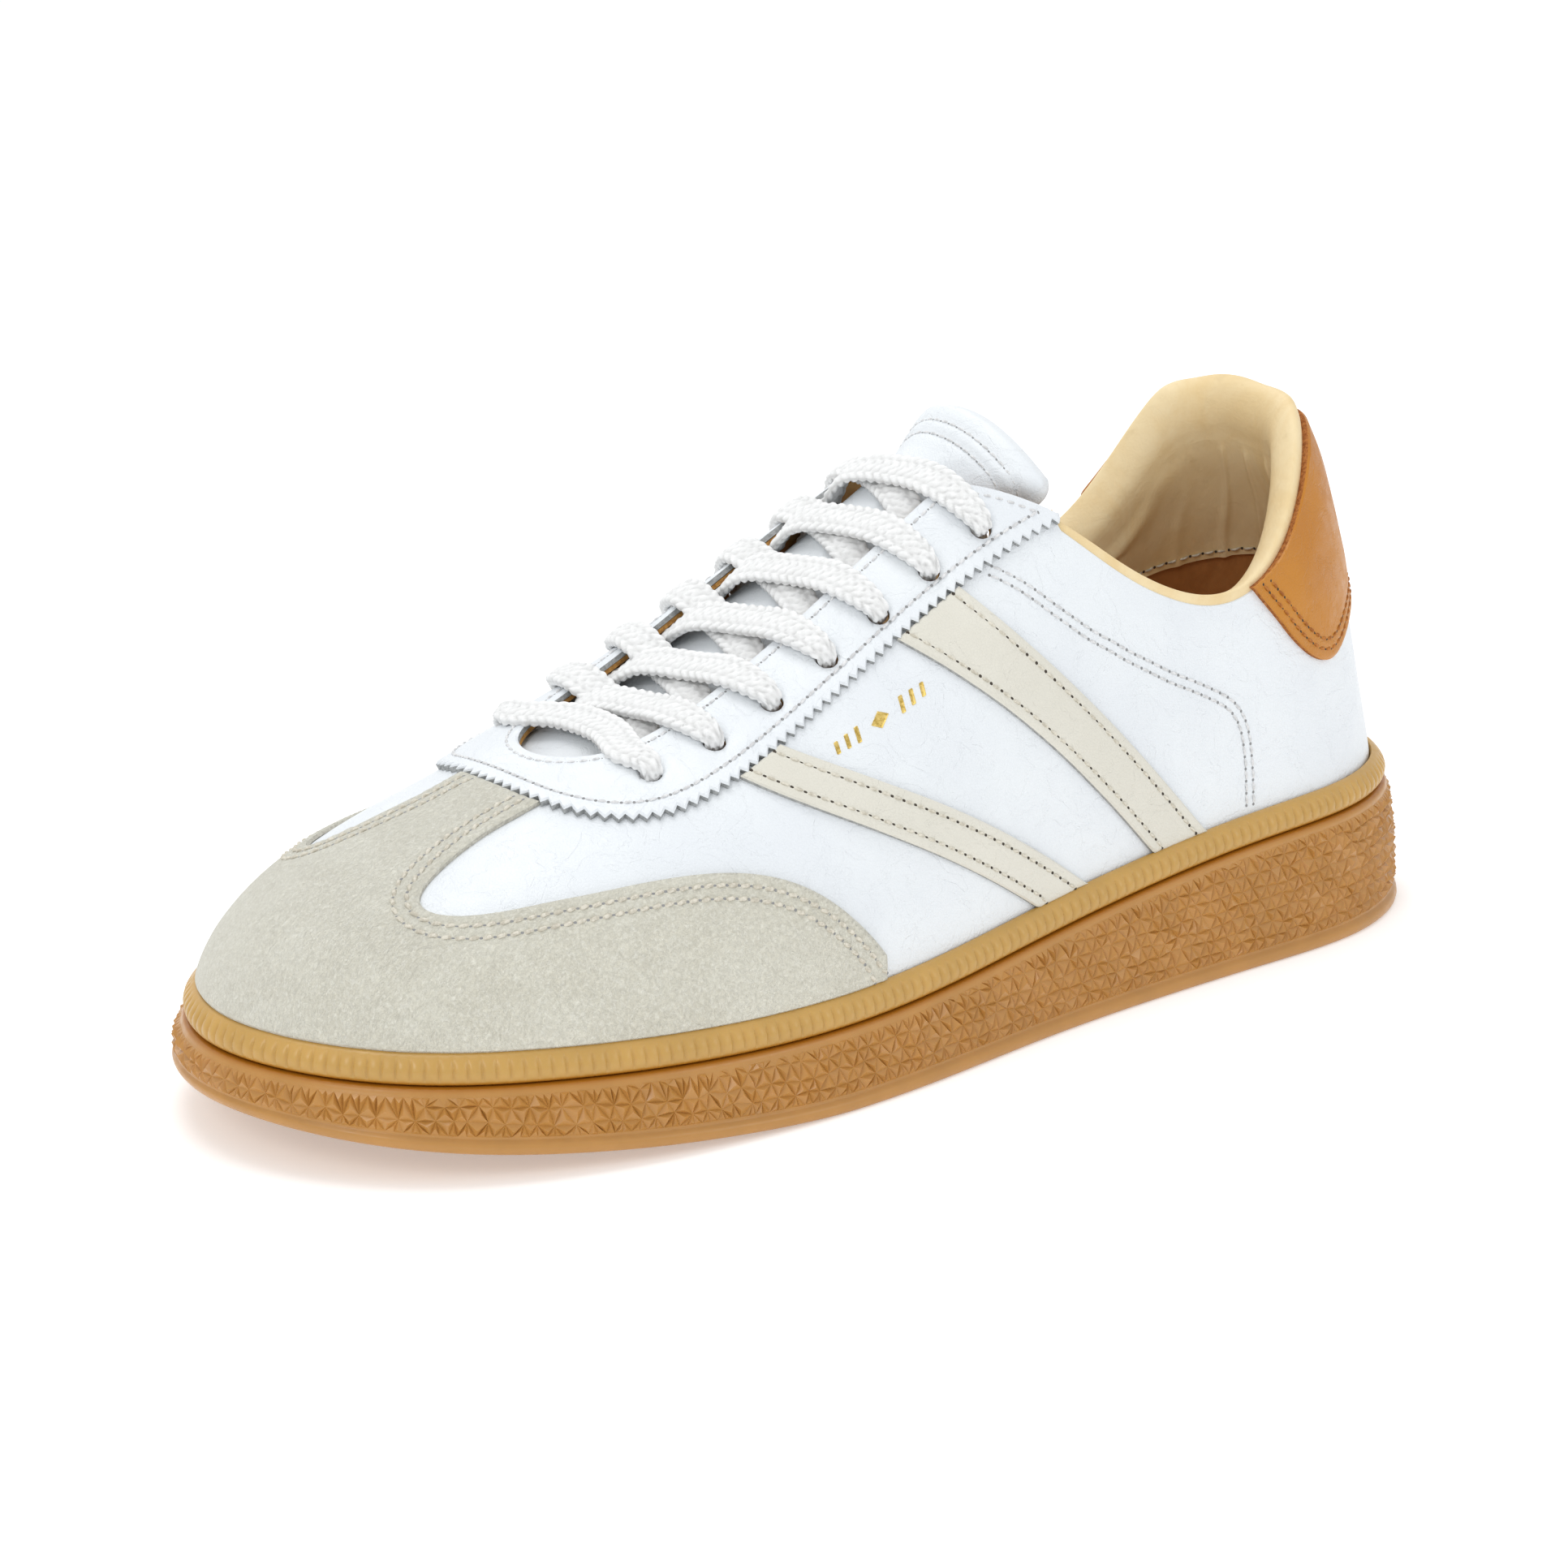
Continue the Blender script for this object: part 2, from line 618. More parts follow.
def stitch_rows(name, lines, thread, pitch=2.7, gap=0.55, radius=0.33, height=0.1, slant=0.1, body="shoe",
                holes=None, hole_size=0.36):
    """Rows of sewn stitches: a short arched thread between each two needle holes."""
    turn = np.arange(STITCH_SIDES) * 2 * math.pi / STITCH_SIDES
    around = np.stack([np.cos(turn), np.sin(turn)], 1)
    points, quads, fans, dots = [], [], [], []
    grid = np.arange(len(STITCH_RINGS) * STITCH_SIDES).reshape(-1, STITCH_SIDES)
    template = tube_quads(grid)
    caps = [[0, n + 1, n] for n in range(1, STITCH_SIDES - 1)]
    last = grid[-1, 0]
    caps += [[last, last + n, last + n + 1] for n in range(1, STITCH_SIDES - 1)]
    for line, normals in lines:
        spots, ups = even(np.array(line), np.array(normals), pitch, soften=1.6)
        for a, b, up in zip(spots[:-1], spots[1:], unit(ups[:-1] + ups[1:])):
            along = b - a
            length = np.linalg.norm(along)
            along = along / length
            side = np.cross(up, along)
            along, side = along + side * slant, side - along * slant
            half = (length - gap) / 2
            middle = (a + b) / 2
            body_points = []
            for s, size, lift in STITCH_RINGS:
                centre = middle + along * s * half + up * (height + lift * radius)
                ring = side[None] * around[:, :1] * size + up[None] * around[:, 1:] * size * STITCH_FLATNESS
                body_points.append(centre + ring * radius)
            start = len(points) * grid.size
            points.append(np.concatenate(body_points))
            quads.append(template + start)
            fans.append(np.array(caps) + start)
        for spot, up in zip(spots, unit(ups)):
            side = unit(np.cross(up, [0.31, 0.2, 0.93]))
            other = np.cross(up, side)
            disc = spot + up * 0.03 + (side[None] * around[:, :1] + other[None] * around[:, 1:]) * hole_size
            dots.append(np.concatenate([disc, (spot + up * 0.06)[None]]))
    if not points:
        raise SystemExit(f"{name}: no stitches")
    thread_points = np.concatenate(points)
    dot_points = np.concatenate(dots)
    fan = np.array([[n, (n + 1) % STITCH_SIDES, STITCH_SIDES] for n in range(STITCH_SIDES)])
    starts = len(thread_points) + np.arange(len(dots)) * (STITCH_SIDES + 1)
    dot_faces = (fan[None] + starts[:, None, None]).reshape(-1, 3)
    quads, fans = np.concatenate(quads), np.concatenate(fans)
    looks = [thread, holes or LOOKS["needle_hole"]]
    indices = [np.zeros(len(quads)), np.zeros(len(fans)), np.ones(len(dot_faces))]
    every = np.concatenate([thread_points, dot_points])
    obj = build(name, every, [quads, fans, dot_faces], looks, indices, crease=0)
    return settle(obj, body=body)


# ---------------------------------------------------------------- materials
class Look:
    """A procedural material made node by node. Texture sizes are given in mm."""

    def __init__(self, name, roughness=0.5, **fixed):
        self.material = bpy.data.materials.new(name)
        self.material.use_nodes = True
        self.nodes = self.material.node_tree.nodes
        self.links = self.material.node_tree.links
        self.shader = self.nodes["Principled BSDF"]
        self.coordinates = self.nodes.new("ShaderNodeTexCoord").outputs["Object"]
        self.shader.inputs["Roughness"].default_value = roughness
        for socket, value in fixed.items():
            self.shader.inputs[socket.replace("_", " ")].default_value = value

    def put(self, socket, value):
        if isinstance(value, bpy.types.NodeSocket):
            self.links.new(value, socket)
        else:
            socket.default_value = value

    def stretched(self, scale):
        node = self.nodes.new("ShaderNodeMapping")
        self.links.new(self.coordinates, node.inputs["Vector"])
        node.inputs["Scale"].default_value = scale
        return node.outputs["Vector"]

    def noise(self, size, detail=3.0, rough=0.5, distortion=0.0, vector=None):
        node = self.nodes.new("ShaderNodeTexNoise")
        self.links.new(vector or self.coordinates, node.inputs["Vector"])
        node.inputs["Scale"].default_value = 1000.0 / size
        node.inputs["Detail"].default_value = detail
        node.inputs["Roughness"].default_value = rough
        node.inputs["Distortion"].default_value = distortion
        return node.outputs["Fac"]

    def cells(self, size, feature="F1", output="Distance", vector=None):
        node = self.nodes.new("ShaderNodeTexVoronoi")
        node.feature = feature
        self.links.new(vector or self.coordinates, node.inputs["Vector"])
        node.inputs["Scale"].default_value = 1000.0 / size
        return node.outputs[output]

    def ramp(self, value, low, high, a=0.0, b=1.0):
        node = self.nodes.new("ShaderNodeMapRange")
        node.interpolation_type = "SMOOTHSTEP"
        self.put(node.inputs["Value"], value)
        for socket, number in zip(("From Min", "From Max", "To Min", "To Max"), (low, high, a, b)):
            node.inputs[socket].default_value = number
        return node.outputs["Result"]

    def math(self, operation, a, b=0.0):
        node = self.nodes.new("ShaderNodeMath")
        node.operation = operation
        self.put(node.inputs[0], a)
        self.put(node.inputs[1], b)
        return node.outputs[0]

    def mix(self, factor, a, b):
        node = self.nodes.new("ShaderNodeMix")
        node.data_type = "RGBA"
        self.put(node.inputs[0], factor)
        self.put(node.inputs[6], a)
        self.put(node.inputs[7], b)
        return node.outputs[2]

    def mottle(self, value, low, high, shade, base):
        """From one colour to another as a texture goes from low to high."""
        return self.mix(self.ramp(value, low, high), rgb(*shade), rgb(*base))

    def attribute(self, name):
        node = self.nodes.new("ShaderNodeAttribute")
        node.attribute_name = name
        return node.outputs["Fac"]

    def bump(self, height, distance, strength=1.0, under=None):
        node = self.nodes.new("ShaderNodeBump")
        self.put(node.inputs["Height"], height)
        node.inputs["Distance"].default_value = distance * 0.001
        node.inputs["Strength"].default_value = strength
        if under is not None:
            self.links.new(under, node.inputs["Normal"])
        return node.outputs["Normal"]

    def colour(self, value):
        self.put(self.shader.inputs["Base Color"], value)

    def rough(self, value):
        self.put(self.shader.inputs["Roughness"], value)

    def normal(self, value):
        self.put(self.shader.inputs["Normal"], value)


def rgb(r, g, b):
    return (r, g, b, 1.0)


def smooth_leather(name, base, shade, roughness=0.42, grain=0.05, crease=0.12, **fixed):
    """Finished leather: fine pores, a soft grain and faint creases."""
    look = Look(name, roughness, **fixed)
    broad = look.noise(28, 3, 0.55)
    look.colour(look.mottle(broad, 0.3, 0.72, shade, base))
    look.rough(look.ramp(look.noise(3.0, 3), 0.3, 0.7, roughness - 0.05, roughness + 0.09))
    pores = look.ramp(look.cells(0.75, "DISTANCE_TO_EDGE"), 0.0, 0.16)
    wrinkles = look.noise(5.0, 5, 0.62, 0.6, look.stretched((1.0, 1.0, 2.6)))
    lines = look.math("ABSOLUTE", look.math("SUBTRACT", look.noise(9.0, 4, 0.55, 0.8), 0.5))
    folds = look.ramp(lines, 0.0, 0.035)
    first = look.bump(wrinkles, crease, 0.8)
    second = look.bump(folds, 0.1, 0.6, first)
    look.normal(look.bump(pores, grain, 0.55, second))
    return look.material


def suede(name, base, shade, light):
    """Napped leather: mottled, with short fibres lying every way."""
    look = Look(name, 0.95, Sheen_Weight=0.35, Sheen_Roughness=0.6, Specular_IOR_Level=0.15)
    cloud = look.noise(14, 4, 0.6, 0.4)
    speck = look.noise(0.9, 3, 0.7, 0.8)
    ground = look.mottle(cloud, 0.28, 0.72, shade, base)
    look.colour(look.mix(look.ramp(speck, 0.42, 0.72, 0.0, 0.8), ground, rgb(*light)))
    fibres = look.noise(1.1, 4, 0.75, 2.2, look.stretched((1.0, 1.7, 1.0)))
    tufts = look.noise(3.6, 3, 0.6, 0.5)
    look.normal(look.bump(fibres, 0.42, 0.9, look.bump(tufts, 0.35, 0.6)))
    return look.material


def raw_edge(name, base, shade):
    """The cut edge of leather: loose fibres, no finish."""
    look = Look(name, 0.95, Specular_IOR_Level=0.15)
    look.colour(look.mottle(look.noise(0.9, 3, 0.7), 0.35, 0.65, shade, base))
    look.normal(look.bump(look.noise(0.55, 3, 0.7, 1.0), 0.3, 0.9))
    return look.material


def soft_lining(name, base, shade, roughness=0.55):
    """Soft glove leather with a fine pebble and darker folds."""
    look = Look(name, roughness, Specular_IOR_Level=0.35)
    folds = look.noise(13, 4, 0.62, 0.7, look.stretched((1.0, 1.0, 0.55)))
    stain = look.noise(4.0, 4, 0.6)
    ground = look.mottle(folds, 0.3, 0.66, shade, base)
    dark = rgb(*(0.86 * c for c in shade))
    look.colour(look.mix(look.ramp(stain, 0.55, 0.8, 0.0, 0.5), ground, dark))
    pebble = look.cells(0.6, "SMOOTH_F1")
    look.normal(look.bump(pebble, 0.06, 0.5, look.bump(look.noise(4.2, 4, 0.6, 0.8), 0.25, 0.7)))
    return look.material


def gum_rubber(name, base, deep):
    """Gum rubber: amber, a little translucent, deeper in its grooves."""
    look = Look(name, 0.34, Subsurface_Weight=0.06, Subsurface_Scale=0.001, Specular_IOR_Level=0.5)
    look.shader.inputs["Subsurface Radius"].default_value = (1.0, 0.45, 0.12)
    tone = look.attribute("tone")
    cloud = look.noise(9, 3, 0.5)
    ground = look.mottle(cloud, 0.3, 0.7, [0.92 * c for c in base], base)
    look.colour(look.mix(tone, ground, rgb(*deep)))
    look.rough(look.ramp(look.noise(2.0, 3), 0.3, 0.7, 0.28, 0.4))
    look.normal(look.bump(look.noise(0.8, 2), 0.03, 0.4))
    return look.material


def thread_look(name, base, shade):
    """Twisted thread."""
    look = Look(name, 0.7, Specular_IOR_Level=0.3)
    look.colour(look.mottle(look.noise(0.8, 2), 0.35, 0.65, shade, base))
    look.normal(look.bump(look.noise(0.4, 2, 0.5, 0.5, look.stretched((1.0, 2.0, 1.0))), 0.08, 0.8))
    return look.material


def cotton(name, base, shade):
    """Braided cotton with loose fibres."""
    look = Look(name, 0.85, Sheen_Weight=0.25, Sheen_Roughness=0.5, Specular_IOR_Level=0.2)
    ground = look.mottle(look.noise(1.5, 3), 0.3, 0.7, shade, base)
    look.colour(look.mix(look.attribute("tone"), ground, rgb(0.72, 0.72, 0.71)))
    strands = look.noise(0.45, 3, 0.6, 0.4, look.stretched((1.0, 0.7, 1.4)))
    look.normal(look.bump(strands, 0.16, 0.8))
    return look.material


def foam_look(name, base, shade):
    look = Look(name, 0.9, Specular_IOR_Level=0.2)
    look.colour(look.mottle(look.noise(2.0, 3), 0.35, 0.65, shade, base))
    look.normal(look.bump(look.cells(0.9), 0.25, 0.7))
    return look.material


def plain_dark(name, base):
    look = Look(name, 0.9, Specular_IOR_Level=0.1)
    look.colour(look.mix(look.noise(0.5, 2), rgb(*base), rgb(*(0.6 * c for c in base))))
    return look.material


def foil(name):
    """Gold foil stamped on leather."""
    look = Look(name, 0.28, Metallic=1.0)
    broken = look.noise(0.8, 3, 0.6)
    look.colour(look.mottle(broken, 0.3, 0.7, (0.62, 0.42, 0.1), (0.86, 0.64, 0.22)))
    look.rough(look.ramp(broken, 0.3, 0.7, 0.22, 0.42))
    look.normal(look.bump(look.noise(1.2, 3), 0.06, 0.6))
    return look.material


def glossy_film(name):
    look = Look(name, 0.18)
    look.colour(look.mix(look.noise(2.0, 2), rgb(0.82, 0.82, 0.8), rgb(0.9, 0.9, 0.89)))
    look.normal(look.bump(look.noise(1.5, 2), 0.05, 0.5))
    return look.material


LOOKS = {
    "white": smooth_leather("white_leather", (0.82, 0.85, 0.87), (0.775, 0.805, 0.835), crease=0.2),
    "cream": smooth_leather("cream_leather", (0.74, 0.715, 0.63), (0.7, 0.675, 0.59), 0.48, 0.06),
    "cognac": smooth_leather("cognac_leather", (0.54, 0.21, 0.012), (0.47, 0.17, 0.009), 0.38, 0.04, 0.1),
    "suede": suede("greige_suede", (0.71, 0.69, 0.585), (0.65, 0.625, 0.52), (0.8, 0.785, 0.69)),
    "cut_white": raw_edge("cut_edge_grey", (0.47, 0.48, 0.48), (0.3, 0.31, 0.31)),
    "cut_cream": raw_edge("cut_edge_band", (0.5, 0.5, 0.48), (0.33, 0.33, 0.32)),
    "cut_suede": raw_edge("cut_edge_suede", (0.64, 0.62, 0.54), (0.46, 0.44, 0.38)),
    "cut_cognac": raw_edge("cut_edge_cognac", (0.5, 0.2, 0.06), (0.28, 0.09, 0.025)),
    "cut_tan": raw_edge("cut_edge_tan", (0.56, 0.3, 0.09), (0.36, 0.17, 0.05)),
    "tan": soft_lining("tan_lining", (0.66, 0.44, 0.2), (0.56, 0.35, 0.14)),
    "beige": soft_lining("beige_collar", (0.84, 0.68, 0.41), (0.78, 0.59, 0.31), 0.5),
    "brown": soft_lining("brown_cover", (0.52, 0.24, 0.08), (0.4, 0.17, 0.05)),
    "gum": gum_rubber("gum_rubber", (0.5, 0.245, 0.06), (0.42, 0.16, 0.012)),
    "gum_rand": gum_rubber("gum_rubber_rand", (0.56, 0.33, 0.085), (0.44, 0.18, 0.012)),
    "white_thread": thread_look("white_thread", (0.8, 0.8, 0.8), (0.62, 0.62, 0.62)),
    "cream_thread": thread_look("cream_thread", (0.74, 0.7, 0.6), (0.55, 0.51, 0.42)),
    "cognac_thread": thread_look("cognac_thread", (0.5, 0.19, 0.04), (0.33, 0.11, 0.02)),
    "needle_hole": plain_dark("needle_hole", (0.36, 0.36, 0.36)),
    "dark_hole": plain_dark("dark_needle_hole", (0.09, 0.075, 0.06)),
    "cotton": cotton("white_cotton", (0.92, 0.92, 0.915), (0.84, 0.84, 0.83)),
    "insert": foam_look("insert_foam", (0.8, 0.78, 0.72), (0.7, 0.68, 0.62)),
    "board": raw_edge("fibre_board", (0.66, 0.58, 0.42), (0.5, 0.43, 0.3)),
    "stiffener": raw_edge("stiffener", (0.74, 0.72, 0.66), (0.62, 0.6, 0.54)),
    "foil": foil("gold_foil"),
    "film": glossy_film("clear_film"),
}


# ---------------------------------------------------------------- the lace
def station_of(k):
    """Where the rib at an outline index meets the spine."""
    return rib(k)[3][..., 0]


def eyelets():
    """Lateral index, medial index and reach of each eyelet, from the throat to the ankle."""
    spots = []
    for n, k in enumerate(EYELET_INDEX):
        station = float(station_of(k))
        twin = float(solve(lambda m: station - station_of(m), TOE + 1, SPANS - 3))
        spots.append((k, twin, EYELET_REACH + EYELET_SPREAD * n))
    return np.array(spots)


EYELETS = eyelets()
LACE_UNDER = -2.4
# One crossing: place across from -1 to 1, height, half width and half thickness there.
CROSSING = [
    [-0.95, LACE_UNDER, 2.7, 1.15], [-0.6, LACE_UNDER, 3.8, 1.0], [-0.24, -0.7, 4.2, 1.0],
    [0.24, -0.7, 4.2, 1.05], [0.58, 2.6, 4.2, 1.15], [0.88, 3.1, 3.2, 1.35], [0.985, 2.4, 2.4, 1.45],
    [0.99, 0.2, 1.9, 1.5], [0.985, -1.8, 2.1, 1.4],
]
# The bar over the throat: rows ahead of the first eyelets, then the same columns.
FIRST_BAR = [
    [0.66, 0.3, 0.9, 4.2, 1.1], [0.3, 0.75, 2.5, 4.0, 1.2], [0.07, 0.9, 2.9, 3.1, 1.35],
    [0, 0.99, 2.6, 2.5, 1.6], [0, 1.01, 0.2, 2.1, 1.6], [0, 1, -1.8, 2.3, 1.4],
]
MIDDLE_LIFT = 1.25      # up or down where the two halves of the lace cross
# The tucked-in end: rows back from the last eyelet, across, height, half width, half thickness.
TAIL = [
    [0, 1.04, -4, 2.4, 1.3], [0.15, 1.13, -5.6, 2.6, 1.2], [0.5, 1.43, -5.6, 3, 1.1], [1.1, 1.65, -5.4, 3, 1],
    [2, 1.6, -6, 2.4, 1.1], [2.8, 1.52, -6.4, 1.5, 1.3],
]


def lace_place(row, across, height):
    """Point and normal of the upper at a row of eyelets and a place across from -1 to 1."""
    i = int(min(max(math.floor(row), 0), len(EYELETS) - 2))
    lateral, medial, reach = EYELETS[i] + (EYELETS[i + 1] - EYELETS[i]) * (row - i)
    k = lateral if across > 0 else medial
    t = float(at_reach(k, min(abs(across), 1.8) * reach))
    normal = upper_normal(k, min(t, 0.985))
    return upper(k, t) + normal * height, normal


def lace_half(side):
    """One half of the lace: half of the first bar, a crossing for each row, and the tucked-in end."""
    rows = [(*lace_place(-ahead, side * across, height), wide, thick)
            for ahead, across, height, wide, thick in FIRST_BAR]
    start = side
    for row in range(len(EYELETS) - 1):
        lift = MIDDLE_LIFT if start < 0 else -MIDDLE_LIFT
        for across, height, wide, thick in CROSSING:
            raised = height + lift if abs(across) < 0.3 else height
            rows.append((*lace_place(row + (across + 1) / 2, -start * across, raised), wide, thick))
        start = -start
    last = len(EYELETS) - 1
    for back, across, height, wide, thick in TAIL:
        rows.append((*lace_place(last - back, start * across, height), wide, thick))
    return rows


def through(points, step):
    """A smooth line through the points, sampled about every step mm; extra columns follow along."""
    spots = points[:, :3]
    knots = np.concatenate([[0], np.cumsum(np.linalg.norm(np.diff(spots, axis=0), axis=1) ** 0.5)])
    padded = np.concatenate([2 * points[:1] - points[1:2], points, 2 * points[-1:] - points[-2:-1]])
    ends = np.concatenate([[2 * knots[0] - knots[1]], knots, [2 * knots[-1] - knots[-2]]])
    result = []
    for i in range(len(points) - 1):
        p = padded[i:i + 4]
        q = ends[i:i + 4]
        count = max(2, int(np.linalg.norm(p[2, :3] - p[1, :3]) / step * 2))
        u = np.linspace(q[1], q[2], count, endpoint=False)[:, None]
        mix = lambda a, b, c, d: a * (d - u) / (d - c) + b * (u - c) / (d - c)
        a, b, c = mix(p[0], p[1], q[0], q[1]), mix(p[1], p[2], q[1], q[2]), mix(p[2], p[3], q[2], q[3])
        result.append(mix(mix(a, b, q[0], q[2]), mix(b, c, q[1], q[3]), q[1], q[2]))
    line = np.concatenate([*result, points[-1:]])
    length = arc_length(line[:, :3])
    at = np.linspace(0, length[-1], int(length[-1] / step) + 1)
    return np.stack([np.interp(at, length, line[:, i]) for i in range(line.shape[1])], 1), at


def close_ends(points, grid, turn):
    """A tube's points with a hub for either end, and the triangles round the hubs.

    The rows of grid are the tube's rings. turn is 1 or -1, the way the first end is wound.
    """
    every, caps = points, []
    for ring, turned in ((grid[0], turn), (grid[-1], -turn)):
        hub = len(every)
        every = np.concatenate([every, points[ring].mean(0)[None]])
        caps += [[hub, *(ring[i], ring[i - 1])[::turned]] for i in range(len(ring))]
    return every, np.array(caps)


LACE_STEP = 0.45
LACE_SIDES = 36
BRAID_COLUMNS = 4
BRAID_PITCH = 2.3


def make_lace():
    """The flat braided lace as a tube of flattened section, with its braid as relief."""
    rows = lace_half(-1)[::-1] + lace_half(1)
    table = np.array([[*point, *normal, wide, thick] for point, normal, wide, thick in rows])
    line, at = through(table, LACE_STEP)
    centre, normal, wide, thick = line[:, :3], unit(line[:, 3:6]), line[:, 6], line[:, 7]
    along = unit(np.gradient(centre, axis=0))
    up = normal[0]
    ups = []
    for tangent, out in zip(along, normal):
        flat = 1 - float(smooth(abs(tangent @ out), 0.35, 0.75))
        aim = out * (1 if out @ up >= 0 else -1)
        up = up + (aim - up) * flat * 0.25
        up = up - tangent * (up @ tangent)
        up /= np.linalg.norm(up)
        ups.append(up)
    ups = np.array(ups)
    wides = np.cross(along, ups)
    turn = (np.arange(LACE_SIDES) + 0.5) / LACE_SIDES * 2 * math.pi
    across = np.sign(np.cos(turn)) * np.abs(np.cos(turn)) ** 0.85
    above = np.sign(np.sin(turn)) * np.abs(np.sin(turn)) ** 0.7
    column = (across[None] + 1) / 2 * BRAID_COLUMNS
    part = column - np.floor(column)
    lean = np.where(np.floor(column) % 2 == 0, 1.0, -1.0)
    shift = 0.5 * np.floor(column) + lean * (part - 0.5) * 0.8
    wave = np.abs(np.sin(np.pi * (at[:, None] / BRAID_PITCH + shift)))
    strand = wave**0.6 * (0.15 + 0.85 * np.sin(np.pi * part) ** 0.5)
    relief = 0.8 * strand - 0.5
    ripple = 0.1 * np.sin(at * 1.3)[:, None] * np.sin(turn)[None]
    raised = (relief + ripple) * np.sign(above)[None] * np.abs(above)[None] ** 0.5
    offset_up = above[None] * thick[:, None] + raised
    offset_wide = across[None] * (wide[:, None] + relief * np.abs(across)[None] ** 3)
    points = centre[:, None] + wides[:, None] * offset_wide[..., None] + ups[:, None] * offset_up[..., None]
    n = len(centre)
    grid = np.arange(n * LACE_SIDES).reshape(n, LACE_SIDES)
    flat, caps = close_ends(points.reshape(-1, 3), grid, 1)
    obj = build("lace_braid", flat, [tube_quads(grid), caps], [LOOKS["cotton"]], crease=0)
    valley = np.append(1 - smooth(strand, 0.1, 0.75), [0.0, 0.0])
    obj.data.attributes.new("tone", "FLOAT", "POINT").data.foreach_set("value", valley.astype(np.float32))
    settle(obj, ["lace"])
    path = to_row(centre[::6])
    tips = [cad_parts[name] for name in ("lace_tip_medial", "lace_tip_lateral")]
    for tip in tips:
        tip.data.materials.clear()
        tip.data.materials.append(LOOKS["film"])


make_lace()

# ---------------------------------------------------------------- the sole
RING = 528
RIB_PITCH = 2.7
LIP_OUT = 3.5
TOE_LIFT = 1.4          # how far the sole's lower edge is raised round the toe
WALL_LOW = 3.2          # foot of the pebbled wall, over the sole's underside
WALL_HIGH = -1.5        # its top, against the ledge
# Section of the lip from below, as inset and height over the underside.
LIP = [
    (-1.0, 0.05), (-2.1, 0), (-2.9, 0.2), (-3.35, 0.65), (-LIP_OUT, 1.3), (-3.42, 2.0), (-3.0, 2.6),
    (-2.45, 2.95), (-2.25, WALL_LOW),
]
# Section of the cup's edge from the wall inwards, as inset and height over the ledge.
CUP_EDGE = [
    (0.05, WALL_HIGH), (0.2, -1.0), (0.55, -0.55), (1.1, -0.35), (2.2, -0.35), (4.0, -0.3), (4.0, 3.3),
    (9.0, 3.3),
]
WALL_CELL = 3.4
WALL_ROW = 2.9
WALL_ROWS = 12
WALL_MARGIN = 0.45
PYRAMID = 0.85
WALL_SEED = 11
TREAD_DEPTH = 1.3
ZIGZAG_LENGTH = 16.0
ZIGZAG_WIDTH = 10.0
GROOVE_PITCH = 6.5
RINGS_MIDDLE = (222.0, 2.0)
RINGS_RADIUS = 24.0
RINGS_PITCH = 5.5


def ring_rows(rows, k):
    """Points round the sole for rows of (inset, height of x)."""
    layers = []
    for inset, height in rows:
        p = sole_edge(k, np.full(len(k), float(inset)))
        layers.append(np.concatenate([p, height(p[:, 0])[:, None]], 1))
    return np.stack(layers, 1)


def lip_rows(rows, k):
    """Like ring_rows, but drawn in and up round the toe, most of all at the bottom."""
    block = ring_rows(rows, k)
    round_off = toe_round(k)
    for i, (inset, _) in enumerate(rows):
        part = i / (len(rows) - 1)
        drawn = round_off * (2.6 * (1 - part) ** 1.5 + 1.0)
        block[:, i, :2] = sole_edge(k, inset + drawn)
        block[:, i, 2] += TOE_LIFT * round_off
    return block


def above_ledge(dz):
    return lambda x: ledge(x) + dz


def above_bottom(dz):
    return lambda x: sole_bottom(x) + dz


def toe_round(k):
    """The sole's lower corner is rounded off round the toe."""
    return swell(k, TOE, 1.3)


def wall_point(k, h):
    """A point of the cup's outer wall, h from 0 at the lip to 1 at the groove."""
    inset = (1.0 * toe_round(k) - 2.25) * (1 - h) + 0.05 * h - 0.55 * np.sin(np.pi * h)
    p = sole_edge(k, inset)
    low = sole_bottom(p[..., 0]) + WALL_LOW + TOE_LIFT * toe_round(k)
    high = ledge(p[..., 0]) + WALL_HIGH
    return np.concatenate([p, (low + (high - low) * h)[..., None]], -1)


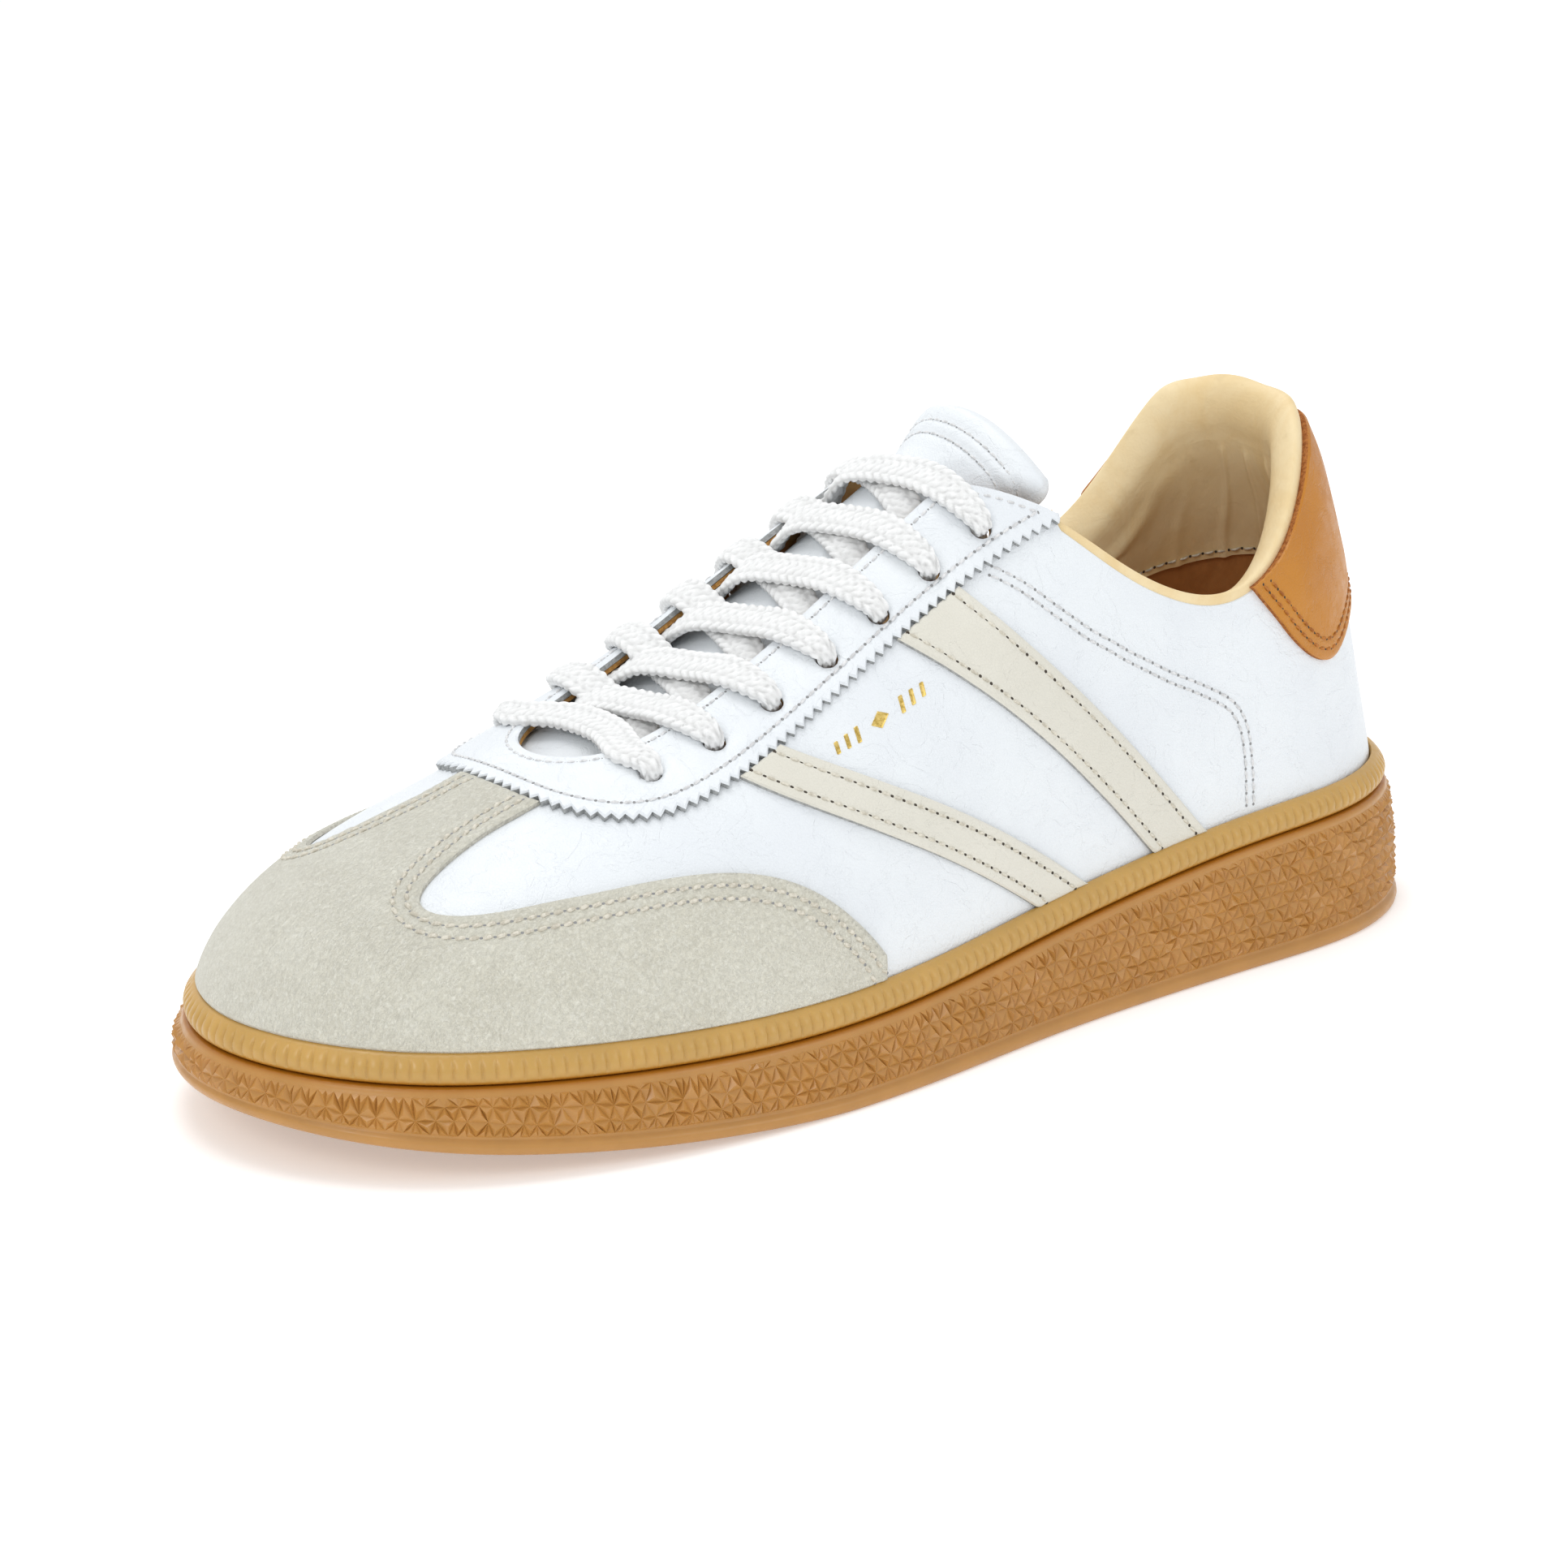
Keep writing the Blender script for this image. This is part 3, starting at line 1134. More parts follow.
def wall_texture(columns):
    """The pebbled wall: irregular triangles with a raised middle, between two even borders."""
    rng = np.random.default_rng(WALL_SEED)
    edge = wall_point(columns, np.zeros(len(columns)))
    length = arc_length(edge)
    total = length[-1] + np.linalg.norm(edge[0] - edge[-1])
    bottoms = np.concatenate([length, [total]])
    k_of = lambda s: np.interp(s, bottoms, np.concatenate([columns, [SPANS]]))

    def tall(s):
        k = k_of(s)
        return wall_point(k, np.ones(len(k)))[:, 2] - wall_point(k, np.zeros(len(k)))[:, 2]

    heights = tall(bottoms)
    spots = []
    count = round(total / WALL_CELL)
    pitch = total / count
    low_row = np.arange(2 * count) * pitch / 2 + 0.5
    spots += [(s, WALL_MARGIN) for s in low_row]
    spots += [(s, z - WALL_MARGIN) for s, z in zip(low_row, tall(low_row))]
    for row in range(1, WALL_ROWS):
        z = row * WALL_ROW
        s = (np.arange(count) + 0.5 * (row % 2)) * pitch
        s = s + rng.uniform(-0.7, 0.7, count)
        zs = z + rng.uniform(-0.55, 0.55, count)
        s = np.clip(s, 1.4, total - 1.4)
        good = zs < tall(s) - WALL_MARGIN - 0.9
        spots += [(a, b) for a, b in zip(s[good], zs[good])]
    low = [(s, 0.0) for s in bottoms]
    high = [(s, h) for s, h in zip(bottoms, heights)]
    sides = [(0.0, heights[0] * f) for f in (0.2, 0.4, 0.6, 0.8)]
    vertices = [Vector(p) for p in [*low, *high, *sides, *((total, z) for _, z in sides), *spots]]
    n = len(low)
    border = [(i, i + 1) for i in range(n - 1)] + [(n + i, n + i + 1) for i in range(n - 1)]
    left = [0, *range(2 * n, 2 * n + 4), n]
    right = [n - 1, *range(2 * n + 4, 2 * n + 8), 2 * n - 1]
    border += list(zip(left[:-1], left[1:])) + list(zip(right[:-1], right[1:]))
    flat, _, faces, *_ = delaunay_2d_cdt(vertices, border, [], 1, 1e-5)
    flat = np.array([list(p) for p in flat])
    faces = np.array([list(f) for f in faces if len(f) == 3])
    k = k_of(flat[:, 0])
    h = np.clip(flat[:, 1] / np.interp(flat[:, 0], bottoms, heights), 0, 1)
    points = wall_point(k, h)
    centres = points[faces].mean(1)
    a, b, c = (points[faces[:, i]] for i in range(3))
    cross = np.cross(b - a, c - a)
    area = np.linalg.norm(cross, axis=1) / 2
    out = unit(cross)
    away = centres[:, :2] - TARGET[:2]
    out *= np.sign((out[:, :2] * away).sum(1))[:, None]
    middle = (h[faces] > 0.01).all(1) & (h[faces] < 0.99).all(1)
    raised = np.where(middle, PYRAMID * np.clip(area / 3.0, 0.3, 1.1), 0.0)
    raised *= rng.uniform(0.75, 1.2, len(faces))
    peaks = centres + (a - centres) * rng.uniform(-0.3, 0.35, (len(faces), 1)) + out * raised[:, None]
    hub = len(points) + np.arange(len(faces))
    triangles = np.concatenate([np.stack([faces[:, i], faces[:, (i + 1) % 3], hub], 1) for i in range(3)])
    return np.concatenate([points, peaks]), triangles


def weld(points, quads, triangles):
    """Points that coincide are merged, and faces that collapse become triangles or go."""
    key = np.round(points * 500).astype(np.int64)
    _, first, index = np.unique(key, axis=0, return_index=True, return_inverse=True)
    index = index.ravel()
    quads, triangles = index[quads], index[triangles]
    same = quads == np.roll(quads, -1, axis=1)
    narrowed = [[p for n, p in enumerate(row) if not flat[n]]
                for row, flat in zip(quads, same) if flat.sum() == 1]
    quads = quads[~same.any(1)]
    whole = (triangles != np.roll(triangles, -1, axis=1)).all(1)
    return points[first], quads, np.array(narrowed, int).reshape(-1, 3), triangles[whole]


def tread_depth(x, y):
    """How deep the sole's tread is cut: zigzag grooves, and rings under the ball of the foot."""
    zigzag = np.abs(np.mod(y / ZIGZAG_LENGTH, 1.0) - 0.5) * ZIGZAG_WIDTH
    groove = np.abs(np.mod((x + zigzag) / GROOVE_PITCH, 1.0) - 0.5) * GROOVE_PITCH
    cut = 1.0 - smooth(groove, 0.8, 1.5)
    r = np.hypot(x - RINGS_MIDDLE[0], y - RINGS_MIDDLE[1])
    disc = 1.0 - smooth(r, RINGS_RADIUS, RINGS_RADIUS + 1.0)
    rings = 1.0 - smooth(np.abs(np.mod(r / RINGS_PITCH, 1.0) - 0.5) * RINGS_PITCH, 0.7, 1.4)
    return TREAD_DEPTH * (cut * (1 - disc) + rings * disc)


def make_cupsole():
    """The gum cup: its lip, wall, top edge, floor and tread, welded into one closed mesh."""
    columns = np.arange(RING) * SPANS / RING
    halfway = lambda x: (sole_bottom(x) + ledge(x)) / 2
    lip = lip_rows([(inset, above_bottom(dz)) for inset, dz in LIP], columns)
    inner = [(9.0, halfway), (9.0, above_bottom(6))]
    top = ring_rows([(inset, above_ledge(dz)) for inset, dz in CUP_EDGE] + inner, columns)
    points, faces = [], []

    def add(block, closed=True):
        start = sum(len(p) for p in points)
        n, m = block.shape[:2]
        grid = start + np.arange(n * m).reshape(n, m)
        ahead = np.roll(grid, -1, axis=0) if closed else grid[1:]
        here = grid if closed else grid[:-1]
        points.append(block.reshape(-1, 3))
        faces.append(np.stack([here[:, :-1], ahead[:, :-1], ahead[:, 1:], here[:, 1:]], -1).reshape(-1, 4))

    add(lip)
    add(top)
    # the tread and the cup's floor, between the two sides of the shoe
    half = RING // 2
    lateral, medial = np.arange(half + 1), (-np.arange(half + 1)) % RING
    across = np.linspace(0, 1, 101)[None, :, None]
    tread = lip[lateral, 0][:, None] * (1 - across) + lip[medial, 0][:, None] * across
    rim_distance = np.minimum(across[..., 0], 1 - across[..., 0])
    rim_distance = rim_distance * np.linalg.norm(lip[lateral, 0] - lip[medial, 0], axis=1)[:, None]
    ends = np.minimum(np.arange(half + 1), half - np.arange(half + 1))[:, None] * 1.35
    inside = smooth(np.minimum(rim_distance, ends), 6.0, 7.2)
    lifted = tread[..., 2] - sole_bottom(tread[..., 0]) - 0.05
    tread[..., 2] -= lifted * smooth(rim_distance, 0, 20)
    tread[..., 2] += inside * tread_depth(tread[..., 0], tread[..., 1])
    add(tread[:, ::-1], closed=False)
    floor = top[lateral, -1][:, None] * (1 - across[:, ::20]) + top[medial, -1][:, None] * across[:, ::20]
    add(floor, closed=False)
    wall, triangles = wall_texture(columns)
    start = sum(len(p) for p in points)
    every = np.concatenate([*points, wall])
    smooth_faces = np.concatenate(faces)
    every, quads, narrowed, facets = weld(every, smooth_faces, triangles + start)
    indices = [np.zeros(len(quads)), np.zeros(len(narrowed)), np.ones(len(facets))]
    looks = [LOOKS["gum"], LOOKS["gum"]]
    obj = build("gum_cupsole", every, [quads, narrowed, facets], looks, indices, crease=0)
    index = np.empty(len(obj.data.polygons), np.int32)
    obj.data.polygons.foreach_get("material_index", index)
    obj.data.polygons.foreach_set("use_smooth", index == 0)
    set_tone(obj, lambda p: smooth(p[:, 2] - ledge(p[:, 0]), -1.25, -0.6))
    return settle(obj, ["cupsole"])


def set_tone(obj, tone):
    """Stores how deep the gum's colour is at each point."""
    mesh = obj.data
    co = np.empty(len(mesh.vertices) * 3, np.float32)
    mesh.vertices.foreach_get("co", co)
    points = co.reshape(-1, 3) * 1000.0 + MIDDLE
    values = np.clip(tone(points), 0, 1).astype(np.float32)
    mesh.attributes.new("tone", "FLOAT", "POINT").data.foreach_set("value", values)


def make_rand():
    """The rounded bead with its fine upright ribs."""
    fine = np.linspace(0, SPANS, 6001)
    edge = sole_edge(fine, np.full(len(fine), 1.0))
    length = arc_length(edge)
    ribs = round(length[-1] / RIB_PITCH)
    steps = np.array([0, 0.07, 0.13, 0.2, 0.36, 0.6, 0.84])
    notch = np.array([0.55, 1.0, 1.0, 0.5, 0.0, 0.0, 0.0])
    s = ((np.arange(ribs)[:, None] + steps[None]) * length[-1] / ribs).ravel()
    cut = np.tile(notch, ribs)
    k = np.interp(s, length, fine)
    # inset, height over the ledge and how deep the notches are there
    section = np.array([
        [3.2, -0.2, 0], [1.75, -0.15, 0], [1.15, 0.25, 0], [0.72, 0.9, 0.1], [0.5, 1.7, 0.9], [0.48, 2.5, 1],
        [0.72, 3.3, 1], [1.2, 4.1, 0.9], [1.75, 4.8, 0.35], [2.3, 5.35, 0], [3.0, 5.75, 0], [3.7, 5.85, 0],
        [4.0, 5.2, 0], [4.05, -0.1, 0],
    ])
    layers = []
    for inset, dz, deep in section:
        p = sole_edge(k, inset + 0.5 * deep * cut)
        layers.append(np.concatenate([p, (ledge(outline(k)[:, 0]) + dz)[:, None]], 1))
    block = np.stack(layers, 1)
    n, m = block.shape[:2]
    grid = np.arange(n * m).reshape(n, m)
    ahead = np.roll(grid, -1, axis=0)
    quads = np.stack([grid, ahead, np.roll(ahead, -1, axis=1), np.roll(grid, -1, axis=1)], -1).reshape(-1, 4)
    obj = build("gum_rand", block.reshape(-1, 3), [quads], [LOOKS["gum_rand"]], crease=60)
    set_tone(obj, lambda p: 1 - smooth(p[:, 2] - ledge(p[:, 0]), 0.1, 1.1))
    return settle(obj, ["ribbed_rand"])


make_cupsole()
make_rand()


# ---------------------------------------------------------------- the upper's pieces
def seam_index(t):
    """Outline index of the seam between the quarter and the vamp, at a height."""
    return 4.7 + 5.57 * t - 2.9 * t * t


def span_of(values, t):
    """Outline index of a band's edge at a height: a parabola."""
    a, b, c = values
    return a + b * t + c * t * t


def between(low, high, lift=None):
    """A placing of (k, v) between two curves of t."""
    def place(k, v):
        t = low(k) + (high(k) - low(k)) * v
        p, n = upper(k, t), upper_normal(k, t)
        if lift is not None:
            p = p + n * lift(k, t)[:, None]
        return p, n
    return place


# The double seam of the padded collar on each quarter: index against t.
SEAM_K = np.array([2.98, 2.97, 2.97, 2.99, 3.09, 3.3, 3.65, 3.98, 4.3, 4.55, 4.82, 5.1])
SEAM_T = np.array([0.0, 0.04, 0.08, 0.115, 0.145, 0.172, 0.217, 0.273, 0.342, 0.42, 0.525, 0.63])
SEAM_SCALE = np.array([32.0, 78.0])      # about how many mm one unit of index and of t stand for
SEAM_APART = 1.05


def beyond_seam(k, t):
    """About how many mm a place is above or behind the double seam, and 0 on its other side."""
    spots = np.stack([from_heel(k), np.broadcast_to(t, np.shape(k))], -1) * SEAM_SCALE
    line = np.stack([SEAM_K, SEAM_T], 1) * SEAM_SCALE
    nearest = np.full(np.shape(k), 1e9)
    for a, b in zip(line[:-1], line[1:]):
        along = np.clip(((spots - a) @ (b - a)) / ((b - a) @ (b - a)), 0, 1)
        nearest = np.minimum(nearest, np.linalg.norm(spots - a - along[..., None] * (b - a), axis=-1))
    return np.where(from_heel(k) < np.interp(t, SEAM_T, SEAM_K), nearest, 0.0)


def collar_bulge(k, t):
    """The padding pushes the quarter out between its top edge and the double seam."""
    k_side = from_heel(k)
    room = smooth(beyond_seam(k, t), 1.6, 10.0)
    top = smooth(collar_top(k) - t, 0.0, 0.09)
    low = smooth(t, 0.06, 0.2)
    front = 1 - smooth(k_side, 3.9, 4.9)
    heel = 1 - 0.85 * swell(k, 0, 1.9)
    return 1.1 * room * top * low * front * heel


def near_seam(depth, row, width=0.55):
    """A stitched furrow at a distance from the edge."""
    return -np.exp(-(((depth - row) / width) ** 2))


def furrows(depth, rows, width):
    """The furrows of several rows of stitches."""
    return sum(near_seam(depth, row, width) for row in rows)


SIDE_NAMES = {1: "lateral", -1: "medial"}


def behind_rand(k):
    """t where the leather ends, just under the bead."""
    return np.full_like(k, -0.012)


def side_index(k, side):
    """An index from the heel, as an outline index of either side."""
    return k if side > 0 else SPANS - k


def quarter_relief(points):
    """The soft unevenness of the quarters' leather."""
    return 0.22 * noise(points, 24, 3) + 0.1 * noise(points, 9, 5)


def make_quarter(side):
    high = lambda k: np.where(from_heel(k) < EYESTAY_END, quarter_edge(k), under_eyestay(k))
    place = between(behind_rand, high, collar_bulge)
    keep = lambda k, v: (seam_index(high(k) * v) - 0.02 - from_heel(k)) * 30
    shell = Shell(side_index(np.linspace(0.004, 7.4, 190), side), np.linspace(0, 1, 74), place, keep,
                  outer=0, inner=-1.2, edge=0.6, relief=lambda p, e, k, v: quarter_relief(p))
    node = f"quarter_{SIDE_NAMES[side]}"
    shell.piece(f"{node}_leather", "white cut_white", [node])


def surface_line(k, t, offset):
    """Points and normals of a line on the upper, standing out by offset."""
    k, t = np.asarray(k, float), np.asarray(t, float)
    normals = upper_normal(k, t)
    return upper(k, t) + normals * np.reshape(offset * np.ones(len(k)), (-1, 1)), normals


def make_collar_seams():
    """The double row of stitches that holds the collar's padding."""
    lines = []
    t = np.linspace(0.012, 0.6, 90)
    for side in (1, -1):
        k = side_index(np.interp(t, SEAM_T, SEAM_K), side)
        shown = t < beside_eyestay(k) - 0.01
        base = upper(k[shown], t[shown])
        offset = collar_bulge(k[shown], t[shown]) + quarter_relief(base)
        points, normals = surface_line(k[shown], t[shown], offset + 0.03)
        lines += [beside(points, normals, distance) for distance in (-SEAM_APART, SEAM_APART)]
    stitch_rows("stitches_collar_seam", lines, LOOKS["white_thread"], gap=0.6, radius=0.3, height=0.0)


def make_vamp():
    place = between(behind_rand, under_eyestay)
    keep = lambda k, v: (from_heel(k) - seam_index(under_eyestay(k) * v) - 0.02) * 30
    relief = lambda p, e, k, v: 0.15 * noise(p, 26, 8)
    shell = Shell(np.linspace(4.6, SPANS - 4.6, 330), np.linspace(0, 1, 60), place, keep,
                  outer=0, inner=-1.2, edge=0.3, relief=relief)
    shell.piece("vamp_leather", "white cut_white", ["vamp"])


CAP_END = 4.62
CAP_WING = [0.38, 0.38, 0.37, 0.38, 0.39, 0.3, -0.14, -0.5]
WING_SCALE = 75.0
BAR_HALF_WIDTH = 12.3
BAR_SIDE = 3.8
BAR_FLARE = 3.0
CAP_FILLET = 16.0
CAP_ROWS = (2.6, 5.2)            # the stitch rows' distances from the edge


def inside_cap(k, t):
    """How far inside the toe cap's edge, in mm: its wings and bar, joined by soft corners."""
    outward = np.where(k < TOE, 0.024 * smooth(TOE - k, 0.8, 2), 0.0)
    wing = (profile(CAP_WING, from_toe(k), 1) + outward - t) * WING_SCALE
    p = upper(k, t)
    flare = BAR_FLARE * smooth(p[..., 0], 240, 262)
    across = np.abs(p[..., 1] - along_shoe(SPINE_SIDE, p[..., 0]) - BAR_SIDE)
    bar = np.where(from_toe(k) < 1.75, BAR_HALF_WIDTH + flare - across, -20.0)
    h = np.clip(0.5 + 0.5 * (wing - bar) / CAP_FILLET, 0, 1)
    return bar * (1 - h) + wing * h + CAP_FILLET * h * (1 - h)


def make_toe_cap():
    high = beside_eyestay
    place = between(above_rand, high)
    rise = lambda k, v: above_rand(k) + (high(k) - above_rand(k)) * v
    keep = lambda k, v: inside_cap(k, rise(k, v))
    relief = lambda p, e, k, v: (
        0.14 * noise(p, 22, 4) + 0.06 * noise(p, 5, 6) + 0.2 * furrows(e, CAP_ROWS, 0.5)
    )
    shell = Shell(np.linspace(TOE - CAP_END, TOE + CAP_END, 300), np.linspace(0, 1, 110), place, keep,
                  outer=1.35, inner=0.1, edge=0.5, relief=relief, free=lambda k, v: keep(k, v) < 0.6)
    shell.piece("toe_cap_suede", "suede cut_suede", ["toe_cap"])
    inside = lambda p, k, v: 0.006 < v < 0.985
    stitch_rows("stitches_toe_cap", shell.seams(CAP_ROWS, inside), LOOKS["cream_thread"],
                pitch=2.6, gap=0.5, radius=0.4, height=0.02, slant=0.25)


# The front and rear edges of each band, as index against height: span_of's three numbers.
BANDS = {
    "front": ((4.93, 5.55, -2.9), (4.48, 5.6, -2.9)),
    "rear": ((3.88, 4.35, -2.2), (3.4, 4.6, -2.7)),
}


def make_band(name, ahead, behind, side):
    top = lambda f: float(solve(lambda t: t - beside_eyestay(side_index(span_of(f, t), side)), 0.0, 1.0))
    top_ahead, top_behind = top(ahead), top(behind)

    def spot(u, v):
        high = top_behind + (top_ahead - top_behind) * v
        k = side_index(span_of(behind, u * high) * (1 - v) + span_of(ahead, u * high) * v, side)
        return k, np.clip(u * high, above_rand(k), beside_eyestay(k))

    def place(u, v):
        k, t = spot(u, v)
        return upper(k, t), upper_normal(k, t)

    relief = lambda p, e, u, v: quarter_relief(p) + 0.18 * near_seam(e, 2.3, 0.5)
    shell = Shell(np.linspace(0, 1, 110), np.linspace(0, 1, 30), place, outer=1.25, inner=-0.1, edge=0.35,
                  relief=relief, free=lambda u, v: (v < 1e-6) | (v > 1 - 1e-6))
    node = f"band_{name}_{SIDE_NAMES[side]}"
    shell.piece(f"{node}_leather", "cream cut_cream", [node])
    return shell.seam(2.3, lambda p, u, v: 0.005 < u < 0.992)


def make_bands():
    lines = []
    for name, (ahead, behind) in BANDS.items():
        for side in (1, -1):
            lines += make_band(name, ahead, behind, side)
    stitch_rows("stitches_bands", lines, LOOKS["cream_thread"], pitch=2.9, gap=0.75, radius=0.3, height=0.0,
                holes=LOOKS["dark_hole"], hole_size=0.42)


FACING_CORNER = 4.97
CORNER_FLARE = 37


def end_line(k, reach, widest):
    """Past the last eyelet the lacing edge runs out to the facing's rear corner."""
    past = np.maximum(0, FACING_CORNER - from_heel(k))
    return np.minimum(reach + CORNER_FLARE * past * past / (past + 0.06), widest)


def lacing_edge(k):
    """Reach of the lacing edge."""
    return end_line(k, LACE_GAP, 99)


TOOTH = 2.7              # pitch of the pinked edge's teeth
PINK = 0.8               # and half their depth
EYESTAY_FACE = 1.5
EYESTAY_NARROW = 5.5     # where it is no wider than this it has no stitches
OUTER_ROW = 3.4          # the stitch rows' distances from the pinked edge and the lacing edge
INNER_ROW = 2.4


def eyestay_columns():
    """Outline indices along the pinked edge, four to a tooth, and the edge's reach at each."""
    k = np.linspace(EYESTAY_END, SPANS - EYESTAY_END, 4000)
    edge = upper(k, at_reach(k, eyestay_reach(k)))
    length = arc_length(edge)
    teeth = round(length[-1] / TOOTH)
    columns = np.interp(np.arange(4 * teeth + 1) * length[-1] / (4 * teeth), length, k)
    out = np.tile([0.0, 1.0, 0.0, -1.0], teeth + 1)[:len(columns)] * PINK
    return columns, out


def facing_place(columns, out, outer_extra=0.0, inner_extra=0.0):
    """A placing of (k, v) on the facing: v 0 at the pinked edge and 1 at the lacing edge."""
    def place(k, v):
        edge = eyestay_reach(k) + np.interp(k, columns, out) + outer_extra
        lacing = end_line(k, LACE_GAP + inner_extra, eyestay_reach(k) + outer_extra - 1.3)
        t = at_reach(k, edge + (lacing - edge) * v)
        return upper(k, t), upper_normal(k, t)
    return place


HOLES = np.array([upper(k, float(at_reach(k, reach))) for *pair, reach in EYELETS for k in pair])


def from_holes(points):
    """Distance to the middle of the nearest eyelet."""
    return np.min([np.linalg.norm(points - hole, axis=1) for hole in HOLES], axis=0)


def outside_holes(place):
    """Positive on the leather round the eyelets, and negative inside them."""
    return lambda k, v: from_holes(place(k, v)[0]) - HOLE_RADIUS


def facing_relief(points):
    """The soft unevenness of the eyestay's leather."""
    return 0.15 * noise(points, 20, 9) + 0.08 * noise(points, 7, 2)


def make_eyestay():
    columns, out = eyestay_columns()
    place = facing_place(columns, out)
    v = np.concatenate([[0, 0.03, 0.07], np.linspace(0.12, 0.9, 18), [0.94, 0.97, 1.0]])

    def relief(p, e, k, v):
        dimple = -0.35 * np.exp(-((from_holes(p) - HOLE_RADIUS) / 1.5) ** 2)
        row = 0.1 * near_seam(e, 3.0, 0.6) * (v < 0.4)
        return facing_relief(p) + dimple + row

    shell = Shell(columns, v, place, outside_holes(place), outer=EYESTAY_FACE, inner=0.05, edge=0.4,
                  relief=relief)
    shell.piece("eyestay_leather", "white cut_white", ["eyestay"])
    k = np.linspace(EYESTAY_END + 0.04, SPANS - EYESTAY_END - 0.04, 900)
    k = k[np.abs(eyestay_reach(k) - lacing_edge(k)) > EYESTAY_NARROW]
    lines = []
    for reach in (eyestay_reach(k) - OUTER_ROW, lacing_edge(k) + INNER_ROW):
        t = at_reach(k, reach)
        lines.append(surface_line(k, t, EYESTAY_FACE + facing_relief(upper(k, t)) - 0.04))
    stitch_rows("stitches_eyestay", lines, LOOKS["white_thread"], pitch=2.5, gap=0.6, radius=0.3, height=0.0)
    lining_place = facing_place(columns, 0 * out, -EYESTAY_OVERLAP - 0.4, 0.15)
    punched = outside_holes(lining_place)
    covered = lambda k: eyestay_reach(k) - EYESTAY_OVERLAP - 2.0 - lacing_edge(k)
    thin = Shell(columns[::2], np.linspace(0, 1, 16), lining_place,
                 lambda k, v: np.minimum(punched(k, v), covered(k)), outer=0.0, inner=-0.95, edge=0.1)
    thin.piece("facing_lining_leather", "tan cut_tan", ["facing_lining"])


TAB_ROWS = (2.2, 4.4)


def make_heel_tab():
    low = tabulated(lambda k: at_height(k, np.minimum(tab_edge(k), topline(k) - 0.6)))
    high = tabulated(lambda k: at_height(k, topline(k) - 0.6))
    place = between(low, high, collar_bulge)
    relief = lambda p, e, k, v: (
        quarter_relief(p) + 0.22 * furrows(e, TAB_ROWS, 0.45) + 0.3 * smooth(e, 4, 12)
    )
    shell = Shell(np.linspace(-TAB_END, TAB_END, 200), np.linspace(0, 1, 60), place, outer=1.4, inner=-0.1,
                  edge=0.4, relief=relief, free=lambda k, v: v < 1e-6)
    shell.piece("heel_tab_leather", "cognac cut_cognac", ["heel_tab"])
    lines = shell.seams(TAB_ROWS, lambda p, k, v: v < 0.8)
    stitch_rows("stitches_heel_tab", lines, LOOKS["cognac_thread"], pitch=2.6, gap=0.6, radius=0.32,
                height=0.0, holes=LOOKS["dark_hole"])


make_quarter(1)
make_quarter(-1)
make_collar_seams()
make_vamp()
make_toe_cap()
make_bands()
make_eyestay()
make_heel_tab()

# ---------------------------------------------------------------- collar, lining and footbed
LINING_GAP = -2.2
LINING_THICKNESS = 0.9
LINING_END = 4.86


def padding(k, t):
    """How thick the collar's padding is."""
    depth = topline(k) - upper(k, t)[..., 2]
    behind = PADDING_END - from_heel(k)
    full = smooth(PADDING_DEPTH - depth, 0, PADDING_DEPTH - 8) * smooth(behind, 0, 1.2)
    return 1.6 * smooth(behind, -0.5, 0.6) + 3.6 * full


def folds(points, k, low):
    """Creases of the soft lining: upright behind the ankle, slanting along the sides."""
    x, z = points[:, 0], points[:, 2]
    drift = 1.6 * noise(points, 17, 21)
    upright = np.sin((np.mod(k + TOE, SPANS) - TOE) * 9.5 + drift * 1.3)
    slanting = np.sin((x * 0.75 + z * 1.1) / 5.0 + drift * 2.2)
    back = 1 - smooth(from_heel(k), 1.0, 2.4)
    crease = np.maximum(upright, 0) ** 4 * back + np.maximum(slanting, 0) ** 4 * (1 - back)
    patchy = np.clip(0.55 + 0.9 * noise(points, 20, 24), 0, 1)
    return 0.45 * noise(points, 13, 22) + 0.16 * noise(points, 5, 23) - 1.25 * crease * patchy * low


ROLL_ROWS = 22
ROLL_DEPTH = 6.5
HEM_MARGIN = 30          # columns at either end of the collar that have no hem stitches


def hem_height(k):
    """Where the padded collar ends over the plain lining below it."""
    back = np.minimum(from_heel(k), 2.4)
    return np.minimum(76.5 - 1.15 * back * back, topline(k) - 9.0)


